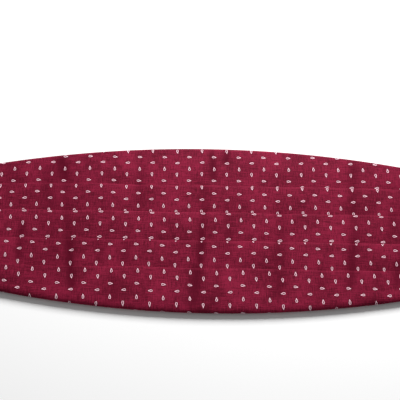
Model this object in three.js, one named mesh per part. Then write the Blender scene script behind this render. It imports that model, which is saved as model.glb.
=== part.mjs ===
// A cummerbund laid flat, front up: a pleated silk panel with a folded tab, a strap and a buckle at its ends.
// Millimetres, +X along the sash, +Y towards its upper edge as worn, +Z out of its front.
// The origin is the middle of the panel's back, on the surface that it lies on.

import * as THREE from 'three';

// Driving dimensions of the pleated panel
const PANEL_HALF_LENGTH = 290;
const PANEL_HALF_HEIGHT = 69;
const PANEL_END_HALF_HEIGHT = 25;
const CLOTH_WALL = 1.0;
const CLOTH_GAP = 0.35;
const EDGE_ROLL_RADIUS = 1.9;
const FRONT_CROWN = 1.2;

// Share of the uppermost band, from its lower edge, over which it falls to the level under the first fold
const TOP_BAND_FALL = 0.35;

// Driving dimensions of the end tabs
const TAB_LENGTH = 44;
const TAB_GRIP = 10;
const TAB_WALL = 1.0;
const TAB_CORNER_RADIUS = 1.8;
const LARGEST_CORNER = 0.49;

// Driving dimensions of the straps
const STRAP_WIDTH = 25;
const STRAP_WALL = 1.2;
const STRAP_TUCK = 12;
const LEFT_STRAP_LENGTH = 62;
const RIGHT_STRAP_LENGTH = 190;
const STRAP_FOLD_BACK = 22;
const STRAP_SETTLE = 16;

// Driving dimensions of the buckle
const BUCKLE_RAIL = 4;
const BUCKLE_BAR = 3.4;
const BUCKLE_SLOT = 7;
const BUCKLE_THICKNESS = 2.4;
const BUCKLE_SIDE_PLAY = 1;
const BUCKLE_CORNER_RADIUS = 3;
const BUCKLE_EDGE_ROUND = 0.5;
const SLOT_CORNER_RADIUS = 1;

// Clearance between two pieces that touch, and from the lowest corner of the buckle to the table
const SEAT_GAP = 0.35;
const TABLE_GAP = 0.05;

// Outline of the panel, as shares of its half length: a long curve, then straight to the end
const OUTLINE_STRAIGHT_FROM = 0.69;

// The pleat lines run straight, then draw together towards the ends
const PLEATS_DRAW_FROM = 0.46;
const PLEATS_STRAIGHT_FROM = 0.7;
const PLEATS_END_SPREAD = 0.44;

// Pleats from the upper edge down, as shares of the panel's half height.
// fold: the visible folded edge; tuck: the cloth hidden below that edge
const PLEATS = [
  { fold: 0.510, tuck: 0.212 },
  { fold: 0.174, tuck: 0.212 },
  { fold: -0.172, tuck: 0.212 },
  { fold: -0.494, tuck: 0.212 },
];

// The front's lift grows over a share of the half height from each edge, and fades out before the ends
const CROWN_EDGE_SHARE = 0.25;
const CROWN_FALLS_FROM = 0.72;
const CROWN_ENDS_AT = 0.9;

// Soft dents that cross the panel. at: where a dent crosses the middle line, as a share of the half length;
// lean: its run along X from the middle to the upper edge, and width: its half width, as the same share;
// depth: share of the front's lift that it takes away; low and high: its ends, as shares of the half height
const DENTS = [
  { at: -0.500, lean: 0.040, width: 0.060, depth: 1.0, low: -1.1, high: 1.1 },
  { at: -0.390, lean: -0.050, width: 0.045, depth: 0.7, low: -0.5, high: 1.1 },
  { at: -0.205, lean: 0.080, width: 0.045, depth: 0.6, low: -1.1, high: -0.2 },
  { at: -0.016, lean: 0.022, width: 0.040, depth: 1.0, low: -1.1, high: 1.1 },
  { at: 0.180, lean: 0.003, width: 0.045, depth: 0.6, low: -0.8, high: 0.6 },
  { at: 0.377, lean: 0.015, width: 0.050, depth: 0.9, low: -1.1, high: 1.1 },
  { at: 0.495, lean: 0.010, width: 0.050, depth: 0.7, low: -0.4, high: 1.1 },
];
const DENT_END_FADE = 0.2;

// Colours and finishes
const SILK = { color: 0x7d2138, roughness: 0.55, metalness: 0 };
const WEBBING = { color: 0x17161a, roughness: 0.85, metalness: 0 };
const PLASTIC = { color: 0x121214, roughness: 0.4, metalness: 0 };

// How finely the surfaces are divided
const MIDDLE_STATIONS = 21;
const END_STATIONS = 3;
const FINE_SHARE = 0.57;
const FOLD_STEPS = 3;
const ROLL_STEPS = 5;
const BACK_STEPS = 2;
const CREST_STEPS = 2;
const DIP_STEPS = 4;
const TAB_STATIONS = 3;
const CORNER_STEPS = 3;
const SETTLE_STEPS = 6;
const BEND_STEPS = 8;

// Levels of the cloth's middle surface, from the back up through a pleat
const LAYER_PITCH = CLOTH_WALL + CLOTH_GAP;
const BACK_LEVEL = CLOTH_WALL / 2;
const LOW_LEVEL = BACK_LEVEL + LAYER_PITCH;
const RETURN_LEVEL = LOW_LEVEL + LAYER_PITCH;
const TOP_LEVEL = RETURN_LEVEL + LAYER_PITCH;
const FOLD_RADIUS = LAYER_PITCH / 2;
const PANEL_THICKNESS = TOP_LEVEL + CLOTH_WALL / 2;

// Where a tab starts and ends, measured outwards from the middle of the panel
const TAB_MOUTH = PANEL_HALF_LENGTH - TAB_GRIP;
const TAB_THROAT = TAB_MOUTH + TAB_LENGTH;

// The panel's ends ride up on the wall of the tab below them
const END_RISE = TAB_WALL + SEAT_GAP;
const END_RISE_RUN = 18;

// Directions of the first and last point of an arc
const UP = Math.PI / 2;
const DOWN = -Math.PI / 2;

const clamp01 = (value) => Math.min(1, Math.max(0, value));

/** Rises smoothly from 0 to 1 as value goes from start to end. */
function ease(start, end, value) {
  const share = clamp01((value - start) / (end - start));
  return share * share * (3 - 2 * share);
}

/** Falls from 1 to 0 at share 1: level up to start, a parabola up to straight, then a tangent line. */
function taper(share, start, straight) {
  const bend = straight - start;
  const run = 1 - start;
  const curve = 1 / (2 * bend * run - bend * bend);
  const past = Math.max(0, share - start);
  if (past < bend) return 1 - curve * past * past;
  return 1 - curve * bend * bend - 2 * curve * bend * (past - bend);
}

/** Half height of the panel's outline at x. */
function outlineHalfHeight(x) {
  const share = Math.abs(x) / PANEL_HALF_LENGTH;
  const fall = PANEL_HALF_HEIGHT - PANEL_END_HALF_HEIGHT;
  return PANEL_END_HALF_HEIGHT + fall * taper(share, 0, OUTLINE_STRAIGHT_FROM);
}

/** How far apart the pleats lie at x, as a share of their spread at the middle. */
function pleatSpread(x) {
  const share = Math.abs(x) / PANEL_HALF_LENGTH;
  const fall = 1 - PLEATS_END_SPREAD;
  return PLEATS_END_SPREAD + fall * taper(share, PLEATS_DRAW_FROM, PLEATS_STRAIGHT_FROM);
}

/** Rise of the whole section at x, where the tab's lower wall passes under it. */
function endRise(x) {
  return END_RISE * ease(TAB_MOUTH - END_RISE_RUN, TAB_MOUTH - SEAT_GAP, Math.abs(x));
}

/** How much the front is puffed up at (x, y): the crown between the dents, flat at the edges and the ends. */
function frontLift(x, y) {
  const along = x / PANEL_HALF_LENGTH;
  const across = y / PANEL_HALF_HEIGHT;
  let lift = 1;
  for (const dent of DENTS) {
    const offset = (along - dent.at - dent.lean * across) / dent.width;
    const begun = ease(dent.low - DENT_END_FADE, dent.low + DENT_END_FADE, across);
    const ended = ease(dent.high - DENT_END_FADE, dent.high + DENT_END_FADE, across);
    lift *= 1 - dent.depth * begun * (1 - ended) * Math.exp(-offset * offset);
  }
  const edge = outlineHalfHeight(x);
  const atEdges = ease(0, edge * CROWN_EDGE_SHARE, edge - Math.abs(y));
  const atEnds = 1 - ease(CROWN_FALLS_FROM, CROWN_ENDS_AT, Math.abs(along));
  return FRONT_CROWN * lift * atEdges * atEnds;
}

/** A row of steps points from one end to the other, without the first one. */
function run(from, to, steps, point) {
  return Array.from({ length: steps }, (_, i) => point(from + (to - from) * (i + 1) / steps));
}

/** An arc of a radius about (y, z), from one angle to another, without its first point. */
function turn(y, z, radius, from, to, steps) {
  const at = (angle) => ({ y: y + radius * Math.cos(angle), z: z + radius * Math.sin(angle) });
  return run(from, to, steps, at);
}

/** A band that starts at its own folded edge, and dips under the next fold below it. */
function bandPoints(top, bottom, dipStart) {
  const level = (y) => LOW_LEVEL + (TOP_LEVEL - LOW_LEVEL) * ease(bottom, dipStart, y);
  const crest = run(top, dipStart, CREST_STEPS, (y) => ({ y, z: TOP_LEVEL }));
  const dip = run(dipStart, bottom, DIP_STEPS, (y) => ({ y, z: level(y) }));
  return [...crest, ...dip];
}

/** The middle line of the cloth round the panel at x, as a closed loop that starts at the lower edge. */
function panelLoop(x) {
  const edge = outlineHalfHeight(x) - CLOTH_WALL / 2;
  const spread = pleatSpread(x);
  const rollCentre = BACK_LEVEL + EDGE_ROLL_RADIUS;
  const rollTop = rollCentre + EDGE_ROLL_RADIUS;
  const flat = edge - EDGE_ROLL_RADIUS;
  const pleats = PLEATS.map(({ fold, tuck }) => ({
    fold: fold * PANEL_HALF_HEIGHT * spread,
    tuckEnd: (fold - tuck) * PANEL_HALF_HEIGHT * spread,
  }));
  const loop = [{ y: -flat, z: BACK_LEVEL }];

  // The back, then the roll at the upper edge
  loop.push(...run(-flat, flat, BACK_STEPS, (y) => ({ y, z: BACK_LEVEL })));
  loop.push(...turn(flat, rollCentre, EDGE_ROLL_RADIUS, DOWN, UP, ROLL_STEPS));

  // The uppermost band falls from the roll to the level under the first fold
  const first = pleats[0].fold;
  const firstFall = first + (flat - first) * TOP_BAND_FALL;
  const firstLevel = (y) => LOW_LEVEL + (rollTop - LOW_LEVEL) * ease(first, firstFall, y);
  loop.push(...run(flat, firstFall, CREST_STEPS, (y) => ({ y, z: rollTop })));
  loop.push(...run(firstFall, first, DIP_STEPS, (y) => ({ y, z: firstLevel(y) })));

  // Each pleat: down under the fold, back up to it, round it, and on as the next band
  pleats.forEach(({ fold, tuckEnd }, i) => {
    const lowTurn = tuckEnd + CLOTH_WALL / 2 + FOLD_RADIUS;
    const highTurn = fold - CLOTH_WALL / 2 - FOLD_RADIUS;
    loop.push({ y: lowTurn, z: LOW_LEVEL });
    loop.push(...turn(lowTurn, LOW_LEVEL + FOLD_RADIUS, FOLD_RADIUS, DOWN, DOWN - Math.PI, FOLD_STEPS));
    loop.push({ y: highTurn, z: RETURN_LEVEL });
    loop.push(...turn(highTurn, RETURN_LEVEL + FOLD_RADIUS, FOLD_RADIUS, DOWN, UP, FOLD_STEPS));
    if (i < pleats.length - 1) {
      loop.push(...bandPoints(highTurn, pleats[i + 1].fold, tuckEnd));
    } else {
      const lastLevel = (y) => rollTop + (TOP_LEVEL - rollTop) * ease(-flat, tuckEnd, y);
      loop.push(...run(highTurn, -flat, DIP_STEPS, (y) => ({ y, z: lastLevel(y) })));
    }
  });

  // The roll at the lower edge closes the loop
  loop.push(...turn(-flat, rollCentre, EDGE_ROLL_RADIUS, UP, UP + Math.PI, ROLL_STEPS).slice(0, -1));

  // The front lifts over its hollow, and everything rides up into the tabs
  return loop.map(({ y, z }) => {
    const front = ease(BACK_LEVEL, LOW_LEVEL, z);
    return { y, z: z + frontLift(x, y) * front + endRise(x) };
  });
}

/** A closed loop moved sideways by distance to its right, with the corners kept at full thickness. */
function offsetLoop(loop, distance) {
  const count = loop.length;
  return loop.map((point, i) => {
    const before = loop[(i + count - 1) % count];
    const after = loop[(i + 1) % count];
    const into = new THREE.Vector2(point.y - before.y, point.z - before.z).normalize();
    const out = new THREE.Vector2(after.y - point.y, after.z - point.z).normalize();
    const across = new THREE.Vector2(into.y + out.y, -into.x - out.x).normalize();
    const reach = distance / Math.max(0.5, across.x * into.y - across.y * into.x);
    return { y: point.y + across.x * reach, z: point.z + across.y * reach };
  });
}

/** A closed body from rings of points, each ring joined to the next, and the last to the first. */
function ringsGeometry(rings) {
  const count = rings[0].length;
  const positions = rings.flat().flatMap(({ x, y, z }) => [x, y, z]);
  const indices = [];
  for (let r = 0; r < rings.length; r += 1) {
    const near = r * count;
    const far = ((r + 1) % rings.length) * count;
    for (let i = 0; i < count; i += 1) {
      const j = (i + 1) % count;
      indices.push(near + i, near + j, far + j, near + i, far + j, far + i);
    }
  }
  const geometry = new THREE.BufferGeometry();
  geometry.setAttribute('position', new THREE.Float32BufferAttribute(positions, 3));
  geometry.setIndex(indices);
  geometry.computeVertexNormals();
  return geometry;
}

/** A hollow sleeve along X: loopsAt(x) gives its outer and inner loop, and each end is a ring of cloth. */
function sleeveGeometry(stations, loopsAt) {
  const sections = stations.map((x) => {
    const { outer, inner } = loopsAt(x);
    return { outer: outer.map((p) => ({ x, ...p })), inner: inner.map((p) => ({ x, ...p })) };
  });
  const outward = sections.map(({ outer }) => outer);
  const inward = sections.map(({ inner }) => inner).reverse();
  return ringsGeometry([...outward, ...inward]);
}

/** Evenly spaced values from start to end, both included. */
function spaced(start, end, steps) {
  return Array.from({ length: steps + 1 }, (_, i) => start + (end - start) * i / steps);
}

/** The pleated panel: one continuous sleeve of cloth. */
function pleatedPanel() {
  const fine = FINE_SHARE * PANEL_HALF_LENGTH;
  const rightEnd = [
    ...spaced(fine, TAB_MOUTH - END_RISE_RUN, END_STATIONS).slice(1),
    TAB_MOUTH - END_RISE_RUN / 2,
    TAB_MOUTH - SEAT_GAP,
    PANEL_HALF_LENGTH,
  ];
  const leftEnd = rightEnd.map((x) => -x).reverse();
  const stations = [...leftEnd, ...spaced(-fine, fine, MIDDLE_STATIONS), ...rightEnd];
  return sleeveGeometry(stations, (x) => {
    const loop = panelLoop(x);
    return { outer: offsetLoop(loop, CLOTH_WALL / 2), inner: offsetLoop(loop, -CLOTH_WALL / 2) };
  });
}

/** A rectangle with round corners from low to high, as a loop that runs the same way as the panel's. */
function roundedLoop(halfWidth, low, high, radius) {
  const corner = Math.min(radius, (high - low) * LARGEST_CORNER);
  const corners = [
    { y: halfWidth - corner, z: low + corner, from: DOWN },
    { y: halfWidth - corner, z: high - corner, from: 0 },
    { y: -halfWidth + corner, z: high - corner, from: UP },
    { y: -halfWidth + corner, z: low + corner, from: Math.PI },
  ];
  return corners.flatMap(({ y, z, from }) => [
    { y: y + corner * Math.cos(from), z: z + corner * Math.sin(from) },
    ...turn(y, z, corner, from, from + Math.PI / 2, CORNER_STEPS),
  ]);
}

/** An end tab, outwards along +X: a flattened cloth sleeve, from the panel's width down to the strap's. */
function endTab() {
  const panelTop = PANEL_THICKNESS + END_RISE + SEAT_GAP;
  const strapTop = TAB_WALL + 2 * SEAT_GAP + STRAP_WALL;
  const strapHalf = STRAP_WIDTH / 2 + SEAT_GAP;
  const loopsAt = (x) => {
    const share = clamp01((x - PANEL_HALF_LENGTH) / (TAB_THROAT - PANEL_HALF_LENGTH));
    const panelHalf = outlineHalfHeight(Math.min(x, PANEL_HALF_LENGTH)) + SEAT_GAP;
    const half = panelHalf + (strapHalf - panelHalf) * share;
    const ceiling = panelTop + (strapTop - panelTop) * share;
    return {
      outer: roundedLoop(half + TAB_WALL, 0, ceiling + TAB_WALL, TAB_CORNER_RADIUS),
      inner: roundedLoop(half, TAB_WALL, ceiling, TAB_CORNER_RADIUS - TAB_WALL),
    };
  };
  const beyondPanel = spaced(PANEL_HALF_LENGTH, TAB_THROAT, TAB_STATIONS);
  return sleeveGeometry([TAB_MOUTH, ...beyondPanel], loopsAt);
}

/** A strap: a flat band of webbing with its middle line in the XZ plane, carried across Y. */
function strapGeometry(line) {
  const sides = [1, -1].map((side) => line.map((point, i) => {
    const before = line[Math.max(0, i - 1)];
    const after = line[Math.min(line.length - 1, i + 1)];
    const along = new THREE.Vector2(after.x - before.x, after.z - before.z).normalize();
    return new THREE.Vector2(
      point.x - side * along.y * STRAP_WALL / 2,
      point.z + side * along.x * STRAP_WALL / 2,
    );
  }));
  const outline = new THREE.Shape([...sides[0], ...sides[1].reverse()]);
  const geometry = new THREE.ExtrudeGeometry(outline, { depth: STRAP_WIDTH, bevelEnabled: false });
  geometry.translate(0, 0, -STRAP_WIDTH / 2);
  geometry.rotateX(Math.PI / 2);
  return geometry;
}

/** Level of a strap's middle line, from inside the tab down to the table. */
function strapLevel(distancePastTab) {
  const inTab = TAB_WALL + SEAT_GAP + STRAP_WALL / 2;
  const onTable = STRAP_WALL / 2;
  return inTab + (onTable - inTab) * ease(0, STRAP_SETTLE, distancePastTab);
}

/** The right strap: straight out of its tab, with a free end. */
function rightStrap() {
  const start = TAB_THROAT - STRAP_TUCK;
  const settled = TAB_THROAT + STRAP_SETTLE;
  const end = TAB_THROAT + RIGHT_STRAP_LENGTH;
  const places = [start, ...spaced(TAB_THROAT, settled, SETTLE_STEPS), ...spaced(settled, end, 3).slice(1)];
  return strapGeometry(places.map((x) => ({ x, z: strapLevel(x - TAB_THROAT) })));
}

// The buckle's inner bar, which the left strap is folded round, measured outwards from the middle
const BAR_X = TAB_THROAT + LEFT_STRAP_LENGTH;
const BAR_Z = STRAP_WALL + SEAT_GAP + BUCKLE_THICKNESS / 2;
const STRAP_BEND_X = BAR_X + BUCKLE_BAR / 2 - BUCKLE_EDGE_ROUND;
const STRAP_BEND_RADIUS = BUCKLE_THICKNESS / 2 + SEAT_GAP + STRAP_WALL / 2;

/** The left strap, drawn outwards along +X: it passes over the bar, turns round it and ends under itself. */
function leftStrap() {
  const start = TAB_THROAT - STRAP_TUCK;
  const settled = TAB_THROAT + STRAP_SETTLE;
  const foldEnd = BAR_X - STRAP_FOLD_BACK;
  const overBar = BAR_Z + STRAP_BEND_RADIUS;
  const lowest = STRAP_WALL / 2;
  const climbStart = foldEnd - SEAT_GAP - STRAP_SETTLE;
  const stacked = STRAP_WALL * 1.5 + SEAT_GAP;
  const upperRun = (x) => {
    const onStack = lowest + (stacked - lowest) * ease(climbStart, foldEnd - SEAT_GAP, x);
    return onStack + (overBar - onStack) * ease(foldEnd, BAR_X - BUCKLE_BAR, x);
  };
  const outOfTab = [start, ...spaced(TAB_THROAT, settled, SETTLE_STEPS)];
  const ontoStack = spaced(climbStart, foldEnd, SETTLE_STEPS);
  const ontoBar = spaced(foldEnd, BAR_X, SETTLE_STEPS).slice(1);
  const bend = turn(STRAP_BEND_X, BAR_Z, STRAP_BEND_RADIUS, UP, DOWN, BEND_STEPS);
  return strapGeometry([
    ...outOfTab.filter((x) => x < climbStart).map((x) => ({ x, z: strapLevel(x - TAB_THROAT) })),
    ...[...ontoStack, ...ontoBar].map((x) => ({ x, z: upperRun(x) })),
    { x: STRAP_BEND_X, z: overBar },
    ...bend.map(({ y, z }) => ({ x: y, z })),
    { x: foldEnd, z: lowest },
  ]);
}

/** A rectangle with round corners, drawn in the XY plane. */
function roundedRectangle(path, left, right, halfHeight, radius) {
  path.moveTo(left + radius, -halfHeight);
  path.lineTo(right - radius, -halfHeight);
  path.absarc(right - radius, -halfHeight + radius, radius, DOWN, 0, false);
  path.lineTo(right, halfHeight - radius);
  path.absarc(right - radius, halfHeight - radius, radius, 0, UP, false);
  path.lineTo(left + radius, halfHeight);
  path.absarc(left + radius, halfHeight - radius, radius, UP, Math.PI, false);
  path.lineTo(left, -halfHeight + radius);
  path.absarc(left + radius, -halfHeight + radius, radius, Math.PI, UP + Math.PI, false);
  return path;
}

/** The buckle, drawn outwards along +X from its inner bar: a flat frame with a middle bar and two slots. */
function buckleGeometry() {
  const slotHalf = STRAP_WIDTH / 2 + BUCKLE_SIDE_PLAY;
  const outerHalf = slotHalf + BUCKLE_RAIL;
  const left = -BUCKLE_BAR / 2;
  const slots = [0, 1].map((i) => left + BUCKLE_BAR + i * (BUCKLE_SLOT + BUCKLE_BAR));
  const right = slots[1] + BUCKLE_SLOT + BUCKLE_BAR;
  const round = BUCKLE_EDGE_ROUND;
  const rim = new THREE.Shape();
  const frame = roundedRectangle(rim, left + round, right - round, outerHalf - round, BUCKLE_CORNER_RADIUS);
  for (const slot of slots) {
    const hole = new THREE.Path();
    const far = slot + BUCKLE_SLOT + round;
    frame.holes.push(roundedRectangle(hole, slot - round, far, slotHalf + round, SLOT_CORNER_RADIUS));
  }
  const geometry = new THREE.ExtrudeGeometry(frame, {
    depth: BUCKLE_THICKNESS - 2 * round,
    bevelEnabled: true,
    bevelThickness: round,
    bevelSize: round,
    bevelSegments: 1,
    curveSegments: 3,
  });
  geometry.translate(0, 0, -BUCKLE_THICKNESS / 2 + round);
  return { geometry, reach: right };
}

/** A mesh of one sub-part. */
function piece(name, geometry, finish) {
  const mesh = new THREE.Mesh(geometry, new THREE.MeshStandardMaterial({ name, ...finish }));
  mesh.name = name;
  return mesh;
}

const cummerbund = new THREE.Group();
cummerbund.name = 'cummerbund';
cummerbund.add(piece('pleated_panel', pleatedPanel(), SILK));

// The right-hand end is drawn outwards along +X
const rightEnd = new THREE.Group();
rightEnd.add(piece('end_tab_right', endTab(), SILK));
rightEnd.add(piece('strap_right', rightStrap(), WEBBING));
cummerbund.add(rightEnd);

// The left-hand end is drawn the same way, and turned round to point along -X
const leftEnd = new THREE.Group();
leftEnd.rotation.z = Math.PI;
leftEnd.add(piece('end_tab_left', endTab(), SILK));
leftEnd.add(piece('strap_left', leftStrap(), WEBBING));

// The buckle hangs on the strap's fold, and tips down until its far edge meets the table
const { geometry: buckleShape, reach: buckleReach } = buckleGeometry();
const buckleTilt = Math.asin((BAR_Z - BUCKLE_THICKNESS / 2 - TABLE_GAP) / (buckleReach + BUCKLE_THICKNESS));
const buckle = piece('buckle', buckleShape, PLASTIC);
buckle.position.set(BAR_X, 0, BAR_Z);
buckle.rotation.y = buckleTilt;
leftEnd.add(buckle);
cummerbund.add(leftEnd);

export default cummerbund;
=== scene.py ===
"""A pleated silk cummerbund lying flat, front up, dressed and lit.

Lengths are in millimetres until a mesh is made, where they become metres. +X runs along the sash,
+Y towards its upper edge as worn, and +Z out of its front. The origin is the middle of its back.
"""

from __future__ import annotations

import logging
import math
from dataclasses import dataclass, field
from enum import Enum

import bpy
import numpy as np
from mathutils import Matrix, Vector

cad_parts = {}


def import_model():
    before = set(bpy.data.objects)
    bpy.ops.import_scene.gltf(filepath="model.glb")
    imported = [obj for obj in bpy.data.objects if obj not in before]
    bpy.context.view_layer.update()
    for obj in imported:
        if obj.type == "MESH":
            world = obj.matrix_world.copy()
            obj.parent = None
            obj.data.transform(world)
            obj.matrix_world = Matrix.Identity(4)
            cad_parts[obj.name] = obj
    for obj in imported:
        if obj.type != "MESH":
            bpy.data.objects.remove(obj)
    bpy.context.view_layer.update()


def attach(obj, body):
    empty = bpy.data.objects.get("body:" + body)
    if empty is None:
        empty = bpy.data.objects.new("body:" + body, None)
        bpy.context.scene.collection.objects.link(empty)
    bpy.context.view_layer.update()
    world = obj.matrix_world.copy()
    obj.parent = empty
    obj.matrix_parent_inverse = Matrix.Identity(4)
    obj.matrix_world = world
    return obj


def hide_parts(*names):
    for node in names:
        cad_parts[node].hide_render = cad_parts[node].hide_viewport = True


MM = 0.001
TAU = 2.0 * math.pi
BODY = "root"
CLOTH_MAP = "cloth"
# Layer of painted highlight along the panel's folded edges
FOLD_HIGHLIGHT_LAYER = "crease"
# Layer of painted shade in the panel's dents
DENT_SHADE_LAYER = "dip"

# Where the pieces meet, measured outwards along X from the middle of the sash
TAB_MOUTH = 280.0
PANEL_END = 290.0
TAB_THROAT = 324.0

# The buckle's inner bar, which the short strap is folded round
BAR_X = 386.0
BAR_Z = 2.75
BAR_WIDTH = 3.4

Colour = tuple[float, float, float, float]
Waves = tuple[tuple[float, float, float], ...]
Value = float | bpy.types.NodeSocket

log = logging.getLogger("cummerbund")


class Slot(Enum):
    """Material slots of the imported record."""

    SILK = "silk"
    WEBBING = "webbing"
    PLASTIC = "plastic"


class Side(Enum):
    """The two ends of the sash, as the sign of their X."""

    LEFT = -1
    RIGHT = 1


def ease(start: float, end: float, value: np.ndarray) -> np.ndarray:
    """Rise smoothly from 0 to 1 as value goes from start to end.

    Args:
        start: Where the rise begins.
        end: Where it is complete.
        value: Places to work the rise out at.

    Returns:
        The share t * t * (3 - 2 t), with t the clamped way from start to end.
    """
    share = np.clip((value - start) / (end - start), 0.0, 1.0)
    return share * share * (3.0 - 2.0 * share)


def taper(share: np.ndarray, start: float, straight: float) -> np.ndarray:
    """Fall from 1 to 0 at share 1: level, then a parabola, then its tangent line.

    Args:
        share: Places along the fall, from 0 to 1.
        start: Where the parabola begins.
        straight: Where the tangent line takes over.

    Returns:
        One value for each place.
    """
    bend = straight - start
    run = 1.0 - start
    curve = 1.0 / (2.0 * bend * run - bend * bend)
    past = np.maximum(0.0, share - start)
    line = 1.0 - curve * bend * bend - 2.0 * curve * bend * (past - bend)
    return np.where(past < bend, 1.0 - curve * past * past, line)


def ripple(x: np.ndarray, y: np.ndarray, waves: Waves) -> np.ndarray:
    """Average plane sine waves.

    Args:
        x: X of each place.
        y: Y of each place.
        waves: For each wave its length along X, its length along Y and its phase.

    Returns:
        The mean of sin(2 pi x / length_x + 2 pi y / length_y + phase) over the waves.
    """
    angles = (TAU * x / length_x + TAU * y / length_y + phase for length_x, length_y, phase in waves)
    return sum(np.sin(angle) for angle in angles) / len(waves)


def gathers(share: np.ndarray, waves: Waves) -> np.ndarray:
    """Add up the gathers across a piece.

    Args:
        share: Places across it, from -1 to 1.
        waves: For each wave its number over a share of 1, its height and its phase.

    Returns:
        The sum of height * sin(2 pi number share + phase) over the waves.
    """
    return sum(height * np.sin(TAU * number * share + phase) for number, height, phase in waves)


def steps(count: int) -> np.ndarray:
    """Even shares of a stretch in one row, without its first point."""
    return (np.arange(count) + 1.0)[None, :] / count


def unit(vectors: np.ndarray, axis: int) -> np.ndarray:
    """Bring vectors to a length of 1."""
    return vectors / np.maximum(np.linalg.norm(vectors, axis=axis, keepdims=True), 1e-9)


def turned(points: np.ndarray, side: Side) -> np.ndarray:
    """Turn points drawn outwards along +X to their end of the sash, by half a turn round Z for the left."""
    return points * np.array([side.value, side.value, 1.0])


def grid_corners(rings: int, points: int, closed: bool) -> tuple[np.ndarray, np.ndarray]:
    """List the corners of a grid's quads. Each ring's last point joins its first.

    Args:
        rings: Number of rings.
        points: Points in each ring.
        closed: Whether the last ring joins the first.

    Returns:
        The ring and the point of each corner, four to a row, in the order that faces outwards for rings that
        advance along +X. The number after the last point stands for the first.
    """
    ring, point = np.meshgrid(np.arange(rings if closed else rings - 1), np.arange(points), indexing="ij")
    ring = np.stack([ring, ring, ring + 1, ring + 1], axis=-1).reshape(-1, 4) % rings
    point = np.stack([point, point + 1, point + 1, point], axis=-1).reshape(-1, 4)
    return ring, point


def grid_quads(rings: int, points: int, closed: bool = True) -> np.ndarray:
    """Vertex numbers of a grid's quads, four to a row."""
    ring, point = grid_corners(rings, points, closed)
    return ring * points + point % points


def corner_map(plane: np.ndarray, closed: bool = True) -> np.ndarray:
    """Spread cloth coordinates over the corners of a grid's quads.

    Args:
        plane: U and V, each by ring and point, with one more point in each ring, where the map ends.
        closed: Whether the last ring joins the first.

    Returns:
        U and V of each corner, in the order of grid_quads.
    """
    ring, point = grid_corners(plane.shape[1], plane.shape[2] - 1, closed)
    return plane[:, ring, point].transpose(1, 2, 0).reshape(-1, 2)


def tube_faces(rings: int, points: int) -> np.ndarray:
    """List the faces of a tube of rings: its quads, then a strip of quads across its first and last ring.

    Args:
        rings: Number of rings.
        points: Points in each ring, an even number.

    Returns:
        Vertex numbers, four to a row, in the order that faces outwards for rings that advance along +X.
    """
    low = np.arange(points // 2 - 1)
    cap = np.stack([low, points - 1 - low, points - 2 - low, low + 1], axis=1)
    return np.concatenate([grid_quads(rings, points, closed=False), cap, (rings - 1) * points + cap[:, ::-1]])


def mesh_piece(
    name: str,
    points: np.ndarray,
    faces: np.ndarray,
    material: bpy.types.Material,
    cloth: np.ndarray | None = None,
    smooth: bool = True,
) -> bpy.types.Object:
    """Make one mesh object from arrays.

    Args:
        name: Name of the piece.
        points: Vertex places in millimetres, three to a row.
        faces: Vertex numbers, four to a row.
        material: The piece's material.
        cloth: Cloth coordinates of each face corner in millimetres, two to a row, or None.
        smooth: Whether the faces are shaded smooth.

    Returns:
        The new object, linked into the scene, at the origin.
    """
    sides = faces.shape[1]
    mesh = bpy.data.meshes.new(name)
    mesh.vertices.add(len(points))
    mesh.vertices.foreach_set("co", (points * MM).astype(np.float32).ravel())
    mesh.loops.add(faces.size)
    mesh.loops.foreach_set("vertex_index", faces.astype(np.int32).ravel())
    mesh.polygons.add(len(faces))
    mesh.polygons.foreach_set("loop_start", np.arange(0, faces.size, sides, dtype=np.int32))
    mesh.polygons.foreach_set("loop_total", np.full(len(faces), sides, dtype=np.int32))
    mesh.polygons.foreach_set("use_smooth", np.full(len(faces), smooth))
    if cloth is not None:
        layer = mesh.uv_layers.new(name=CLOTH_MAP)
        layer.data.foreach_set("uv", (cloth * MM).astype(np.float32).ravel())
    mesh.update(calc_edges=True)
    mesh.validate()
    mesh.materials.append(material)
    piece = bpy.data.objects.new(name, mesh)
    bpy.context.scene.collection.objects.link(piece)
    return piece


def seat(piece: bpy.types.Object, slot: Slot, *nodes: str) -> None:
    """Let a finished piece ride on the part's body, and stand for the solids it replaces.

    Args:
        piece: The finished piece.
        slot: Not used.
        nodes: Names of the solids that it replaces.
    """
    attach(piece, BODY)
    if nodes:
        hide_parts(*nodes)
    log.info("%s: %d faces", piece.name, len(piece.data.polygons))


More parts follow.
